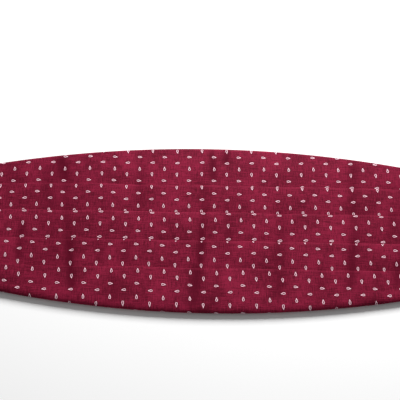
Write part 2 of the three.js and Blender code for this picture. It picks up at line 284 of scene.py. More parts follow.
class Graph:
    """A node tree that is wired up in short calls. Inputs are given as numbers, colours or sockets."""

    def __init__(self, tree: bpy.types.NodeTree) -> None:
        """Keep the tree that nodes are added to."""
        self.tree = tree

    def node(self, kind: str, **settings: object) -> bpy.types.Node:
        """Add a node.

        Args:
            kind: Blender's name of its kind.
            settings: Its properties, by name.

        Returns:
            The new node.
        """
        made = self.tree.nodes.new(kind)
        for name, value in settings.items():
            setattr(made, name, value)
        return made

    def feed(self, socket: bpy.types.NodeSocket, value: Value | Colour) -> None:
        """Link a socket to another one, or set its own value.

        Args:
            socket: The input that is fed.
            value: What it is given.
        """
        if isinstance(value, bpy.types.NodeSocket):
            self.tree.links.new(value, socket)
        else:
            socket.default_value = value

    def result(
        self, kind: str, inputs: dict, output: int | str = 0, **settings: object
    ) -> bpy.types.NodeSocket:
        """Add a node, feed its inputs and take one output.

        Args:
            kind: Blender's name of its kind.
            inputs: What each input is given, by its number or name.
            output: Number or name of the output.
            settings: The node's properties, by name.

        Returns:
            The output's socket.
        """
        made = self.node(kind, **settings)
        for key, value in inputs.items():
            self.feed(made.inputs[key], value)
        return made.outputs[output]

    def math(self, operation: str, *values: Value, clamp: bool = False) -> bpy.types.NodeSocket:
        """Work out a number."""
        return self.result("ShaderNodeMath", dict(enumerate(values)), operation=operation, use_clamp=clamp)

    def smooth(self, value: Value, low: Value, high: Value) -> bpy.types.NodeSocket:
        """Rise smoothly from 0 to 1 as value goes from low to high."""
        inputs = {"Value": value, "From Min": low, "From Max": high}
        return self.result("ShaderNodeMapRange", inputs, "Result", interpolation_type="SMOOTHSTEP")

    def mix(self, share: Value, first: Value | Colour, second: Value | Colour) -> bpy.types.NodeSocket:
        """Mix two colours by a share. The node's colour inputs are its numbers 6 and 7, and its output 2."""
        return self.result("ShaderNodeMix", {0: share, 6: first, 7: second}, 2, data_type="RGBA")

    def noise(self, place: Value, scale: float, detail: float = 2.0) -> bpy.types.NodeSocket:
        """Add a noise of a scale, in cycles for each unit of place."""
        return self.result("ShaderNodeTexNoise", {"Vector": place, "Scale": scale, "Detail": detail}, "Fac")

    def place(self, u: Value, v: Value) -> bpy.types.NodeSocket:
        """Join two numbers into a place."""
        return self.result("ShaderNodeCombineXYZ", {0: u, 1: v})

    def group(self, name: str, **values: Value) -> bpy.types.Node:
        """Place a node group.

        Args:
            name: Name of the group.
            values: What each of its inputs is given, by name.

        Returns:
            The group's node.
        """
        made = self.node("ShaderNodeGroup", node_tree=bpy.data.node_groups[name])
        for key, value in values.items():
            self.feed(made.inputs[key], value)
        return made


def new_group(name: str, inputs: tuple[str, ...], outputs: tuple[str, ...]) -> tuple[Graph, dict, dict]:
    """Start a shader node group of plain numbers.

    Args:
        name: Name of the group.
        inputs: Names of its inputs.
        outputs: Names of its outputs.

    Returns:
        The group's graph, its input sockets by name, and its output sockets by name.
    """
    tree = bpy.data.node_groups.new(name, "ShaderNodeTree")
    for way, sockets in (("INPUT", inputs), ("OUTPUT", outputs)):
        for socket in sockets:
            tree.interface.new_socket(name=socket, in_out=way, socket_type="NodeSocketFloat")
    graph = Graph(tree)
    entry = graph.node("NodeGroupInput")
    leave = graph.node("NodeGroupOutput")
    given = {socket: entry.outputs[socket] for socket in inputs}
    wanted = {socket: leave.inputs[socket] for socket in outputs}
    return graph, given, wanted


class Facing(Enum):
    """Ways that a boteh lies on the cloth: its step along and its step across, each as U and V."""

    TIP_RIGHT = ((1.0, 0.0), (0.0, 1.0))
    TIP_LEFT = ((-1.0, 0.0), (0.0, 1.0))
    TIP_UP = ((0.0, -1.0), (-1.0, 0.0))
    TIP_DOWN = ((0.0, 1.0), (1.0, 0.0))


@dataclass(frozen=True)
class BotehRepeat:
    """The woven repeat: rows of small leaf shapes with a bent tip, each row facing its own way.

    rows gives each row's facing and how far it is set along the cloth, as a share of the pitch across.
    """

    across_pitch: float = 19.84
    row_pitch: float = 5.2
    rows: tuple[tuple[Facing, float], ...] = (
        (Facing.TIP_RIGHT, 0.0),
        (Facing.TIP_LEFT, 0.5),
        (Facing.TIP_UP, 0.0),
        (Facing.TIP_DOWN, 0.5),
    )
    length: float = 3.7
    width: float = 1.8
    fullness: float = 1.35
    narrowing: float = 1.1
    bend: float = 0.35
    set_back: float = 0.07
    outline: float = 0.4
    # Reach of the painted shadow round each leaf
    rim: float = 0.95
    thread: float = 0.2

    def leaf_group(self) -> None:
        """Build the group for one leaf: Along runs from its round end to its tip, Across to its side.

        With t the way along, half its width is fullness * width * sqrt(t) * (1 - t) ** narrowing, which comes
        to half of width at its widest, about a middle line that bends aside with t cubed. Only its outline is
        woven in the pale thread, so its tip is solid. Its second output is painted shadow on the ground close
        round it.
        """
        graph, given, wanted = new_group("boteh leaf", ("Along", "Across"), ("Figure", "Rim"))
        t = graph.math("ADD", graph.math("DIVIDE", given["Along"], self.length), 0.5, clamp=True)
        bent = graph.math("MULTIPLY_ADD", graph.math("POWER", t, 3.0), self.bend, -self.set_back)
        aside = graph.math("ABSOLUTE", graph.math("SUBTRACT", given["Across"], bent))
        pointed = graph.math("POWER", graph.math("SUBTRACT", 1.0, t), self.narrowing)
        form = graph.math("MULTIPLY", graph.math("SQRT", t), pointed)
        inside = graph.math("SUBTRACT", graph.math("MULTIPLY", form, self.fullness * self.width), aside)
        body = graph.smooth(inside, 0.0, self.thread / 2)
        heart = graph.smooth(inside, self.outline, self.outline + self.thread / 2)
        graph.feed(wanted["Figure"], graph.math("SUBTRACT", body, heart))
        # Painted shadow on the ground round the leaf
        past = graph.math("SUBTRACT", graph.math("ABSOLUTE", given["Along"]), self.length / 2)
        near = graph.math("SUBTRACT", inside, graph.math("MAXIMUM", past, 0.0))
        graph.feed(wanted["Rim"], graph.smooth(near, -self.rim, 0.0))

    def repeat_group(self) -> None:
        """Build the group that repeats the leaf over cloth coordinates U and V, in millimetres.

        U and V are stepped by the thread, so that the leaf has the stepped edge of woven figures.
        """
        self.leaf_group()
        graph, given, wanted = new_group("boteh repeat", ("U", "V"), ("Figure", "Rim"))
        pitches = {"U": self.across_pitch, "V": self.row_pitch * len(self.rows)}
        found = {"Figure": 0.0, "Rim": 0.0}
        for row, (facing, shift) in enumerate(self.rows):
            centres = {"U": shift * self.across_pitch, "V": row * self.row_pitch}
            local = []
            for socket, pitch in pitches.items():
                moved = graph.math("ADD", given[socket], pitch / 2 - centres[socket])
                wrapped = graph.math("SUBTRACT", graph.math("FLOORED_MODULO", moved, pitch), pitch / 2)
                local.append(graph.math("ADD", graph.math("SNAP", wrapped, self.thread), self.thread / 2))
            ways = []
            for step_u, step_v in facing.value:
                socket, sign = (local[0], step_u) if step_u else (local[1], step_v)
                ways.append(graph.math("MULTIPLY", socket, sign))
            leaf = graph.group("boteh leaf", Along=ways[0], Across=ways[1])
            found = {key: graph.math("MAXIMUM", value, leaf.outputs[key]) for key, value in found.items()}
        for key, value in found.items():
            graph.feed(wanted[key], value)


@dataclass(frozen=True)
class Weave:
    """Fine thread relief for any woven piece. slubs are cycles in a millimetre along U and along V."""

    slubs: tuple[tuple[float, float], ...] = ((0.11, 1.5), (1.5, 0.16))
    slub_detail: float = 3.0

    def group(self) -> None:
        """Build the group: warp ribs across U, weft ribs across V, and a slow unevenness of the yarn.

        Height is the product of two rounded waves, the first of them set back by Slant of its pitch for each
        wave of the second, as floats are in satin. Tone is the mean of two noises, one long along U and one
        long along V.
        """
        graph, given, wanted = new_group("weave", ("U", "V", "Warp", "Weft", "Slant"), ("Height", "Tone"))
        across = graph.math("DIVIDE", given["V"], given["Weft"])
        set_back = graph.math("MULTIPLY", graph.math("FLOOR", across), given["Slant"])
        along = graph.math("ADD", graph.math("DIVIDE", given["U"], given["Warp"]), set_back)
        waves = []
        for cycles in (along, across):
            angle = graph.math("MULTIPLY", cycles, TAU)
            waves.append(graph.math("MULTIPLY_ADD", graph.math("SINE", angle), 0.5, 0.5))
        graph.feed(wanted["Height"], graph.math("MULTIPLY", *waves))
        runs = []
        for along_u, along_v in self.slubs:
            u = graph.math("MULTIPLY", given["U"], along_u)
            v = graph.math("MULTIPLY", given["V"], along_v)
            runs.append(graph.math("MULTIPLY", graph.noise(graph.place(u, v), 1.0, self.slub_detail), 0.5))
        graph.feed(wanted["Tone"], graph.math("ADD", *runs))


def new_material(name: str) -> tuple[bpy.types.Material, Graph, bpy.types.Node]:
    """Start a material.

    Args:
        name: Name of the material.

    Returns:
        The material, its graph and its Principled BSDF node.
    """
    material = bpy.data.materials.new(name)
    material.use_nodes = True
    return material, Graph(material.node_tree), material.node_tree.nodes["Principled BSDF"]


def cloth_place(graph: Graph) -> tuple[bpy.types.NodeSocket, bpy.types.NodeSocket]:
    """Read the piece's own cloth map.

    Args:
        graph: The material's graph.

    Returns:
        The places along and across the cloth, in millimetres.
    """
    both = graph.node("ShaderNodeSeparateXYZ")
    graph.feed(both.inputs[0], graph.node("ShaderNodeUVMap", uv_map=CLOTH_MAP).outputs[0])
    return graph.math("DIVIDE", both.outputs[0], MM), graph.math("DIVIDE", both.outputs[1], MM)


def object_place(graph: Graph) -> bpy.types.NodeSocket:
    """Read the place in the piece's own coordinates, in metres."""
    return graph.node("ShaderNodeTexCoord").outputs["Object"]


def layer_value(graph: Graph, name: str) -> bpy.types.NodeSocket:
    """Read a layer of values that is painted on the piece."""
    return graph.node("ShaderNodeAttribute", attribute_name=name).outputs["Fac"]


def bump(graph: Graph, shader: bpy.types.Node, height: Value, relief: tuple[float, float]) -> None:
    """Feed a height into a shader's normal.

    Args:
        graph: The material's graph.
        shader: The shader that is given the normal.
        height: The height.
        relief: The share of it that shows, and what a height of 1 stands for, in millimetres.
    """
    strength, distance = relief
    inputs = {"Strength": strength, "Distance": distance * MM, "Height": height}
    graph.feed(shader.inputs["Normal"], graph.result("ShaderNodeBump", inputs, "Normal"))


def scaled(colour: Colour, share: float) -> Colour:
    """Make a colour darker or lighter by a factor."""
    return tuple(share * part for part in colour[:3]) + (1.0,)


@dataclass(frozen=True)
class SilkFinish:
    """Maroon jacquard silk: slubbed satin ground, pale woven figures, painted shade and a painted fold
    highlight.

    patches gives the scale and the share of each noise that is added to the slubs, and tone the values
    between which the sum goes from shade to ground.
    """

    name: str = "maroon silk"
    ground: Colour = (0.252, 0.0146, 0.0446, 1.0)
    shade: Colour = (0.088, 0.0050, 0.0148, 1.0)
    # Painted shade, for the dents and round the figures
    painted_shade: Colour = (0.075, 0.0026, 0.0115, 1.0)
    # Painted highlight along the folded edges, lighter than the mottled ground
    crease: Colour = (0.230, 0.0150, 0.0450, 1.0)
    figure: Colour = (1.0, 0.66, 0.755, 1.0)
    gloss_tint: Colour = (1.0, 0.14, 0.28, 1.0)
    slub_share: float = 0.6
    patches: tuple[tuple[float, float], ...] = ((0.035, 0.25), (1.3, 0.25))
    tone: tuple[float, float] = (0.44, 0.67)
    # Share of painted shade in the dents
    dent_shade_share: float = 0.8
    # Share of painted shadow round the figures
    figure_shadow_share: float = 0.8
    warp: float = 0.50
    weft: float = 0.36
    slant: float = 0.5
    roughness: float = 0.55
    figure_roughness: float = 0.15
    sheen: float = 0.12
    sheen_roughness: float = 0.4
    gloss: float = 0.05
    figure_height: float = 0.8
    weave_height: float = 0.5
    relief: tuple[float, float] = (0.35, 0.08)

    def material(self) -> bpy.types.Material:
        """Build the silk's material on the piece's cloth map.

        Returns:
            The new material.
        """
        material, graph, shader = new_material(self.name)
        u, v = cloth_place(graph)
        leaves = graph.group("boteh repeat", U=u, V=v)
        weave = graph.group("weave", U=u, V=v, Warp=self.warp, Weft=self.weft, Slant=self.slant)
        figure = leaves.outputs["Figure"]
        tone = 0.0
        for scale, share in self.patches:
            tone = graph.math("MULTIPLY_ADD", graph.noise(graph.place(u, v), scale), share, tone)
        tone = graph.math("MULTIPLY_ADD", weave.outputs["Tone"], self.slub_share, tone)
        cloth = graph.mix(graph.smooth(tone, *self.tone), self.shade, self.ground)
        # Painted highlight along the folded edges
        cloth = graph.mix(layer_value(graph, FOLD_HIGHLIGHT_LAYER), cloth, self.crease)
        # Painted shade in the dents and round the figures
        darkened = ((layer_value(graph, DENT_SHADE_LAYER), self.dent_shade_share), (leaves.outputs["Rim"], self.figure_shadow_share))
        for mask, share in darkened:
            cloth = graph.mix(graph.math("MULTIPLY", mask, share), cloth, self.painted_shade)
        roughness = graph.math("MULTIPLY_ADD", figure, self.figure_roughness, self.roughness)
        graph.feed(shader.inputs["Base Color"], graph.mix(figure, cloth, self.figure))
        graph.feed(shader.inputs["Roughness"], roughness)
        shader.inputs["Sheen Weight"].default_value = self.sheen
        shader.inputs["Sheen Roughness"].default_value = self.sheen_roughness
        shader.inputs["Sheen Tint"].default_value = self.gloss_tint
        shader.inputs["Specular IOR Level"].default_value = self.gloss
        shader.inputs["Specular Tint"].default_value = self.gloss_tint
        threads = graph.math("MULTIPLY", weave.outputs["Height"], self.weave_height)
        bump(graph, shader, graph.math("MULTIPLY_ADD", figure, self.figure_height, threads), self.relief)
        return material


@dataclass(frozen=True)
class WebbingFinish:
    """Black ribbed webbing."""

    name: str = "black webbing"
    yarn: Colour = (0.007, 0.0065, 0.008, 1.0)
    worn: Colour = (0.024, 0.022, 0.025, 1.0)
    warp: float = 1.3
    weft: float = 0.85
    roughness: float = 0.8
    sheen: float = 0.08
    gloss: float = 0.18
    relief: tuple[float, float] = (0.6, 0.15)

    def material(self) -> bpy.types.Material:
        """Build the webbing's material on the strap's cloth map.

        Returns:
            The new material.
        """
        material, graph, shader = new_material(self.name)
        u, v = cloth_place(graph)
        weave = graph.group("weave", U=u, V=v, Warp=self.warp, Weft=self.weft, Slant=0.0)
        share = graph.math("MULTIPLY", weave.outputs["Height"], weave.outputs["Tone"])
        graph.feed(shader.inputs["Base Color"], graph.mix(share, self.yarn, self.worn))
        shader.inputs["Roughness"].default_value = self.roughness
        shader.inputs["Sheen Weight"].default_value = self.sheen
        shader.inputs["Specular IOR Level"].default_value = self.gloss
        bump(graph, shader, weave.outputs["Height"], self.relief)
        return material


@dataclass(frozen=True)
class ThreadFinish:
    """Sewing thread, with the twist of its plies in cycles for each millimetre."""

    name: str
    colour: Colour
    twist: float = 2.2
    shade: float = 0.6
    roughness: float = 0.6
    relief: tuple[float, float] = (0.4, 0.05)

    def material(self) -> bpy.types.Material:
        """Build the thread's material on object coordinates.

        Returns:
            The new material.
        """
        material, graph, shader = new_material(self.name)
        grain = graph.noise(object_place(graph), self.twist / MM, 1.0)
        dark = scaled(self.colour, self.shade)
        graph.feed(shader.inputs["Base Color"], graph.mix(grain, dark, self.colour))
        shader.inputs["Roughness"].default_value = self.roughness
        bump(graph, shader, grain, self.relief)
        return material


@dataclass(frozen=True)
class PlasticFinish:
    """Black moulded plastic with a fine satin grain and pale scuffs, both in cycles for each millimetre."""

    name: str = "black plastic"
    colour: Colour = (0.008, 0.008, 0.009, 1.0)
    grain: float = 3.0
    scuffs: float = 0.25
    scuff_detail: float = 4.0
    scuffed: tuple[float, float] = (0.55, 0.8)
    scuff_light: float = 2.2
    roughness: float = 0.28
    scuff_roughness: float = 0.25
    relief: tuple[float, float] = (0.25, 0.03)

    def material(self) -> bpy.types.Material:
        """Build the plastic's material on object coordinates.

        Returns:
            The new material.
        """
        material, graph, shader = new_material(self.name)
        scuff = graph.noise(object_place(graph), self.scuffs / MM, self.scuff_detail)
        share = graph.smooth(scuff, *self.scuffed)
        roughness = graph.math("MULTIPLY_ADD", scuff, self.scuff_roughness, self.roughness)
        light = scaled(self.colour, self.scuff_light)
        graph.feed(shader.inputs["Base Color"], graph.mix(share, self.colour, light))
        graph.feed(shader.inputs["Roughness"], roughness)
        bump(graph, shader, graph.noise(object_place(graph), self.grain / MM), self.relief)
        return material


@dataclass(frozen=True)
class Pleat:
    """One knife pleat. fold is its folded edge and tuck what hides below it, as shares of the half height.

    hidden is the cloth in the tuck, shift how far the pattern beyond it lies along X, in millimetres, and
    skew how far each row of it runs askew, as a share of X.
    """

    fold: float
    tuck: float
    hidden: float
    shift: float
    skew: float


@dataclass(frozen=True)
class FoldedEdge:
    """A pleat at every station: Y of its folded edge, and of the end of the band that comes out of it.

    above and beyond are V at the edge, on the band above it and past its hidden tuck, and shift_above is how
    far the pattern of the band above lies along X.
    """

    pleat: Pleat
    y: np.ndarray
    band_end: np.ndarray
    above: np.ndarray
    beyond: np.ndarray
    shift_above: float


@dataclass(frozen=True)
class Dent:
    """A soft dent down the front, in millimetres: its lower and upper end, half width and depth."""

    low_x: float
    low_y: float
    high_x: float
    high_y: float
    width: float
    depth: float


@dataclass
class ClothLine:
    """The cloth's middle line round the sash, put together stretch by stretch for all stations at once."""

    stations: np.ndarray
    stretches: list[np.ndarray] = field(default_factory=list)

    def add(self, *parts: np.ndarray | float) -> None:
        """Append a stretch, given as its Y, Z, V, pattern shift and painted fold highlight."""
        shape = np.broadcast_shapes(self.stations.shape, *(np.shape(part) for part in parts))
        self.stretches.append(np.stack([np.broadcast_to(part, shape) for part in parts]))

    def joined(self) -> np.ndarray:
        """All stretches as one array: five values, by station, by point."""
        return np.concatenate(self.stretches, axis=2)


def spans(y: np.ndarray, z: np.ndarray) -> np.ndarray:
    """Distance from each point of closed lines to the next, one row for each line."""
    return np.hypot(np.diff(y, append=y[:, :1]), np.diff(z, append=z[:, :1]))


def thickened(y: np.ndarray, z: np.ndarray, offset: float, least_cosine: float = 0.6) -> np.ndarray:
    """Move closed lines sideways, keeping the full distance round bends.

    Each point moves along the bisector of its two edges, by the offset over the cosine of half their angle.

    Args:
        y: Y of each point, one row for each line, running anticlockwise.
        z: Z of each point.
        offset: Distance outwards, in millimetres.
        least_cosine: What a smaller cosine counts as, so that sharp points stay short.

    Returns:
        Y and Z of the moved points.
    """
    into = unit(np.stack([y - np.roll(y, 1, axis=1), z - np.roll(z, 1, axis=1)]), 0)
    out = np.roll(into, -1, axis=2)
    across = unit(np.stack([into[1] + out[1], -into[0] - out[0]]), 0)
    cosine = across[0] * into[1] - across[1] * into[0]
    return np.stack([y, z]) + across * offset / np.maximum(least_cosine, cosine)


def lined(values: np.ndarray) -> np.ndarray:
    """Values by station of a sleeve's outer face, then every second one backwards, of its inner face."""
    return np.concatenate([values, values[::2][::-1]])


def sleeve(
    name: str,
    x: np.ndarray,
    line: tuple[np.ndarray, np.ndarray],
    walls: tuple[float, float],
    cloth: np.ndarray,
    material: bpy.types.Material,
    side: Side = Side.RIGHT,
) -> bpy.types.Object:
    """Make a sleeve of cloth along X, open at both ends, from a line round it.

    Args:
        name: Name of the piece.
        x: The stations, in one column.
        line: Y and Z of the line, one row for each station.
        walls: How far outside the line its outer and its inner face lie.
        cloth: U and V of the line with one more point in each row, stacked.
        material: The cloth.
        side: The end of the sash that it is turned to.

    Returns:
        The new object. Its vertices are in the order of lined.
    """
    faces = []
    for offset, skip in zip(walls, (1, 2)):
        y, z = thickened(line[0][::skip], line[1][::skip], offset)
        faces.append(np.stack([np.broadcast_to(x[::skip], y.shape), y, z], axis=2))
    rings = np.concatenate([faces[0], faces[1][::-1]])
    points = turned(rings.reshape(-1, 3), side)
    plane = np.stack([lined(part) for part in cloth])
    return mesh_piece(name, points, grid_quads(*rings.shape[:2]), material, corner_map(plane))


@dataclass(frozen=True)
class Thread:
    """Sewing thread, and the stitches made with it: tubes that dip into the cloth at both ends."""

    material: bpy.types.Material
    stitch: float
    gap: float
    radius: float
    rings: int = 7
    sides: int = 6
    sunk: float = 0.4
    blunt: float = 0.02

    def row(self, x: float, reach: float) -> tuple[np.ndarray, np.ndarray]:
        """Plan a row of stitches along Y.

        Args:
            x: Where the row lies.
            reach: Half its length.

        Returns:
            X and Y of each stitch's first point, and of its last one.
        """
        y = np.arange(-reach, reach - self.stitch, self.stitch + self.gap)
        x = np.full_like(y, x)
        return np.stack([x, y], axis=1), np.stack([x, y + self.stitch], axis=1)

    def line(self, first: np.ndarray, last: np.ndarray) -> tuple[np.ndarray, np.ndarray]:
        """Plan stitches spaced evenly along a line.

        Args:
            first: X and Y of the line's first point.
            last: X and Y of its last point.

        Returns:
            X and Y of each stitch's first point, and of its last one.
        """
        pitch = self.stitch + self.gap
        count = max(1, round(float(np.linalg.norm(last - first)) / pitch))
        share = np.arange(count)[:, None] / count
        return first + (last - first) * share, first + (last - first) * (share + self.stitch / pitch / count)

    def sew(self, name: str, starts: np.ndarray, ends: np.ndarray, side: Side) -> bpy.types.Object:
        """Make a run of stitches.

        A stitch is a tube along its chord. Where a goes from 0 to pi over its rings, its way along is
        (1 - cos a) / 2, its radius the root of sin a, and its height a radius times sin a less sunk.
        Its faces point inwards.

        Args:
            name: Name of the piece.
            starts: First point of each stitch, in millimetres.
            ends: Last point of each stitch.
            side: The end of the sash that they are turned to.

        Returns:
            The new object.
        """
        angle = np.linspace(0.0, math.pi, self.rings)
        along = ((1.0 - np.cos(angle)) / 2.0)[:, None, None]
        girth = (self.radius * np.sqrt(np.maximum(np.sin(angle), self.blunt)))[:, None]
        height = (self.radius * (np.sin(angle) - self.sunk))[:, None]
        turn = TAU * np.arange(self.sides) / self.sides
        chord = (ends - starts)[:, None, None]
        flat = unit(np.stack([-chord[..., 1], chord[..., 0]], axis=-1), -1)
        tube = np.repeat(starts[:, None, None] + along * chord, self.sides, axis=2)
        tube[..., :2] += flat * (girth * np.cos(turn))[..., None]
        tube[..., 2] += girth * np.sin(turn) + height
        one = tube_faces(self.rings, self.sides)[:, ::-1]
        first = (np.arange(len(starts)) * self.rings * self.sides)[:, None, None]
        points = turned(tube.reshape(-1, 3), side)
        return mesh_piece(name, points, (one + first).reshape(-1, 4), self.material)


@dataclass
class PleatedPanel:
    """The front panel: one sleeve of cloth with five bands, four knife pleats and two rolled edges.

    Pairs of values say between which two places something grows or fades: across as shares of the half
    height, along as shares of the half length, and for ride_up and curl_fades in millimetres along X.
    """

    silk: bpy.types.Material
    half_length: float = PANEL_END
    half_height: float = 69.0
    end_half_height: float = 25.0
    straight_from: float = 0.69
    end_spread: float = 0.44
    spread_from: float = 0.46
    spread_straight: float = 0.7
    wander: float = 0.2
    wander_waves: tuple[tuple[float, float], ...] = ((15.3, 40.0), (6.7, 17.0))
    wall: float = 0.4
    layer_pitch: float = 0.6
    hollow: float = 2.3
    upper_reach: float = 1.3
    lower_reach: float = 4.4
    upper_height: float = 3.9
    lower_height: float = 4.3
    crown: float = 0.6
    crown_fades: tuple[float, float] = (0.78, 0.95)
    edge_fades: tuple[float, float] = (0.0, 0.3)
    waves: Waves = ((71.0, 160.0, 0.4), (118.0, -90.0, 2.0), (47.0, 75.0, 4.1))
    wave_height: float = 0.2
    deepest: float = 0.9
    dent_end: float = 4.5
    gather_grows: tuple[float, float] = (0.72, 0.93)
    gather_lift: float = 0.35
    gather_skew: float = 0.1
    gather_waves: Waves = ((3.1, 0.24, 0.0), (5.3, 0.176, 1.9))
    end_lift: float = 1.35
    ride_up: tuple[float, float] = (262.0, 279.65)
    edge_gap: float = 0.9
    curl_grows: tuple[float, float] = (0.87, 0.97)
    curl_fades: tuple[float, float] = (200.0, 250.0)
    seam_inset: float = 9.0
    seam_width: float = 0.8
    seam_depth: float = 0.4
    stations: int = 300
    back_steps: int = 24
    edge_steps: int = 10
    upper_steps: int = 22
    tuck_steps: tuple[int, int, int, int] = (3, 4, 3, 6)
    tuck_shares: tuple[float, ...] = (0.0, 0.45, 0.5, 0.97, 1.0)
    band_steps: int = 16
    lowest_steps: int = 24
    seam_steps: int = 4
    # Share of the painted highlight at the folded edges
    fold_highlight_share: float = 0.1
    first_row: float = 60.6
    first_shift: float = 3.0
    first_skew: float = 0.0125
    pleats: tuple[Pleat, ...] = (
        Pleat(0.510, 0.212, 29.8, 3.2, 0.003),
        Pleat(0.174, 0.212, 29.8, 4.2, 0.0),
        Pleat(-0.172, 0.212, 29.8, 3.5, -0.006),
        Pleat(-0.494, 0.212, 31.0, 5.4, -0.004),
    )
    # Each dent is sunk into the front and also darkened with painted shade
    dents: tuple[Dent, ...] = (
        Dent(-116.0, 36.0, -120.0, 58.0, 4.5, 0.85),
        Dent(-120.0, -62.0, -120.0, 60.0, 18.0, 0.3),
        Dent(116.0, -60.0, 116.0, 62.0, 12.0, 0.2),
        Dent(150.0, -56.0, 150.0, 56.0, 9.0, 0.25),
        Dent(-109.0, -11.0, -116.0, 34.0, 4.0, 0.4),
        Dent(-103.0, -55.0, -109.0, -13.0, 3.5, 1.0),
        Dent(-146.0, -32.0, -145.0, -1.0, 3.0, 0.8),
        Dent(-155.0, 29.0, -162.0, 53.0, 9.0, 0.45),
        Dent(-8.0, -32.0, -6.0, 4.0, 3.0, 1.1),
        Dent(-12.5, -65.0, -9.5, -34.0, 5.0, 1.0),
        Dent(2.0, 38.0, 1.0, 67.0, 2.5, 1.0),
        Dent(12.0, 54.0, 13.5, 68.0, 3.0, 1.0),
        Dent(-6.0, 5.0, -4.0, 34.0, 3.5, 0.55),
        Dent(51.0, -58.0, 55.5, 14.0, 4.0, 0.5),
        Dent(111.0, -9.0, 115.0, 56.0, 4.0, 0.45),
        Dent(105.0, -51.0, 111.0, -10.0, 4.0, 0.8),
        Dent(140.5, -9.0, 143.5, 14.0, 5.0, 0.6),
        Dent(141.0, -47.0, 143.5, -26.0, 4.0, 0.8),
        Dent(-64.5, -33.0, -64.0, -14.0, 5.0, 0.55),
        Dent(-72.0, -62.0, -73.0, -43.0, 3.5, 0.6),
        Dent(-83.5, -32.0, -86.5, -14.0, 4.0, 0.45),
        Dent(-98.5, 49.0, -99.5, 63.0, 3.0, 0.45),
        Dent(-75.0, 46.0, -77.0, 63.0, 3.0, 0.45),
        Dent(-55.5, 15.0, -57.0, 64.0, 3.5, 0.45),
        Dent(-124.5, 12.0, -131.5, 51.0, 6.0, 0.35),
        Dent(83.5, -51.0, 84.5, -34.0, 3.0, 0.45),
        Dent(125.0, -49.0, 127.0, -33.0, 3.0, 0.45),
        Dent(14.5, -29.0, 12.5, 19.0, 3.0, 0.4),
        Dent(3.0, -62.0, 7.0, -34.0, 3.0, 0.5),
        Dent(-196.0, -45.0, -201.0, 8.0, 4.0, 0.7),
        Dent(-232.0, -20.0, -228.0, 40.0, 5.0, 0.5),
        Dent(186.0, -42.0, 189.0, -4.0, 4.0, 0.7),
        Dent(216.0, -8.0, 212.0, 44.0, 4.5, 0.6),
    )

    @property
    def back(self) -> float:
        """Level of the back's middle line."""
        return self.wall / 2

    @property
    def low(self) -> float:
        """Level of the front's middle line where a band meets the next fold."""
        return self.back + self.hollow + self.wall

    @property
    def bend(self) -> float:
        """Radius of a pleat's turns."""
        return self.layer_pitch / 2

    @property
    def high(self) -> float:
        """Level of the front's middle line where a band comes out over its fold."""
        return self.low + 4 * self.bend

    def outline(self, x: np.ndarray) -> np.ndarray:
        """Half height of the outline at x."""
        fall = self.half_height - self.end_half_height
        return self.end_half_height + fall * taper(np.abs(x) / self.half_length, 0.0, self.straight_from)

    def edge(self, x: np.ndarray, reach: float) -> np.ndarray:
        """Distance from the middle to where a long edge's roll of a given reach begins, at x."""
        return self.outline(x) - self.wall / 2 - reach

    def spread(self, x: np.ndarray) -> np.ndarray:
        """How far apart the pleats lie at x, as a share of their spread in the middle."""
        fall = taper(np.abs(x) / self.half_length, self.spread_from, self.spread_straight)
        return self.end_spread + (1.0 - self.end_spread) * fall

    def fold_line(self, pleat: Pleat, x: np.ndarray) -> np.ndarray:
        """Y of a pleat's folded edge at x, with the slight wander of a hand-pressed fold."""
        wander = sum(np.sin(x / run + phase * pleat.fold) for run, phase in self.wander_waves)
        return pleat.fold * self.half_height * self.spread(x) + self.wander * wander

    def foot(self, pleat: Pleat, y: np.ndarray, x: np.ndarray) -> np.ndarray:
        """Y of the lowest place in a pleat's tuck, whose folded edge lies at y."""
        return y - pleat.tuck * self.half_height * self.spread(x)

    def dip(self, x: np.ndarray, y: np.ndarray) -> np.ndarray:
        """Add up the soft dents: for each, a bell curve across it, eased in and out along it.

        Args:
            x: X of each place.
            y: Y of each place.

        Returns:
            The depth in millimetres.
        """
        depth = np.zeros(np.broadcast_shapes(x.shape, y.shape))
        for dent in self.dents:
            lean = (dent.high_x - dent.low_x) / (dent.high_y - dent.low_y)
            offset = (x - dent.low_x - lean * (y - dent.low_y)) / dent.width
            begun = ease(-self.dent_end, self.dent_end, y - dent.low_y)
            ended = ease(-self.dent_end, self.dent_end, dent.high_y - y)
            depth += dent.depth * begun * ended * np.exp(-offset * offset)
        return depth

    def lift(self, x: np.ndarray, y: np.ndarray) -> np.ndarray:
        """Work out how high the front stands over its flat levels.

        The crown, with slow waves and less the dents, gives way to gathers at both ends, and both fade out
        towards the long edges.

        Args:
            x: X of each place.
            y: Y of each place.

        Returns:
            The height in millimetres, below 0 in a dent.
        """
        along = np.abs(x) / self.half_length
        across = y / self.outline(x)
        crown = self.crown + self.wave_height * ripple(x, y, self.waves) - self.dip(x, y)
        crown = np.maximum(crown, -self.deepest) * (1.0 - ease(*self.crown_fades, along))
        pulled = self.gather_lift + gathers(across + self.gather_skew * np.sign(x), self.gather_waves)
        rise = crown + pulled * ease(*self.gather_grows, along)
        return rise * ease(*self.edge_fades, 1.0 - np.abs(across))

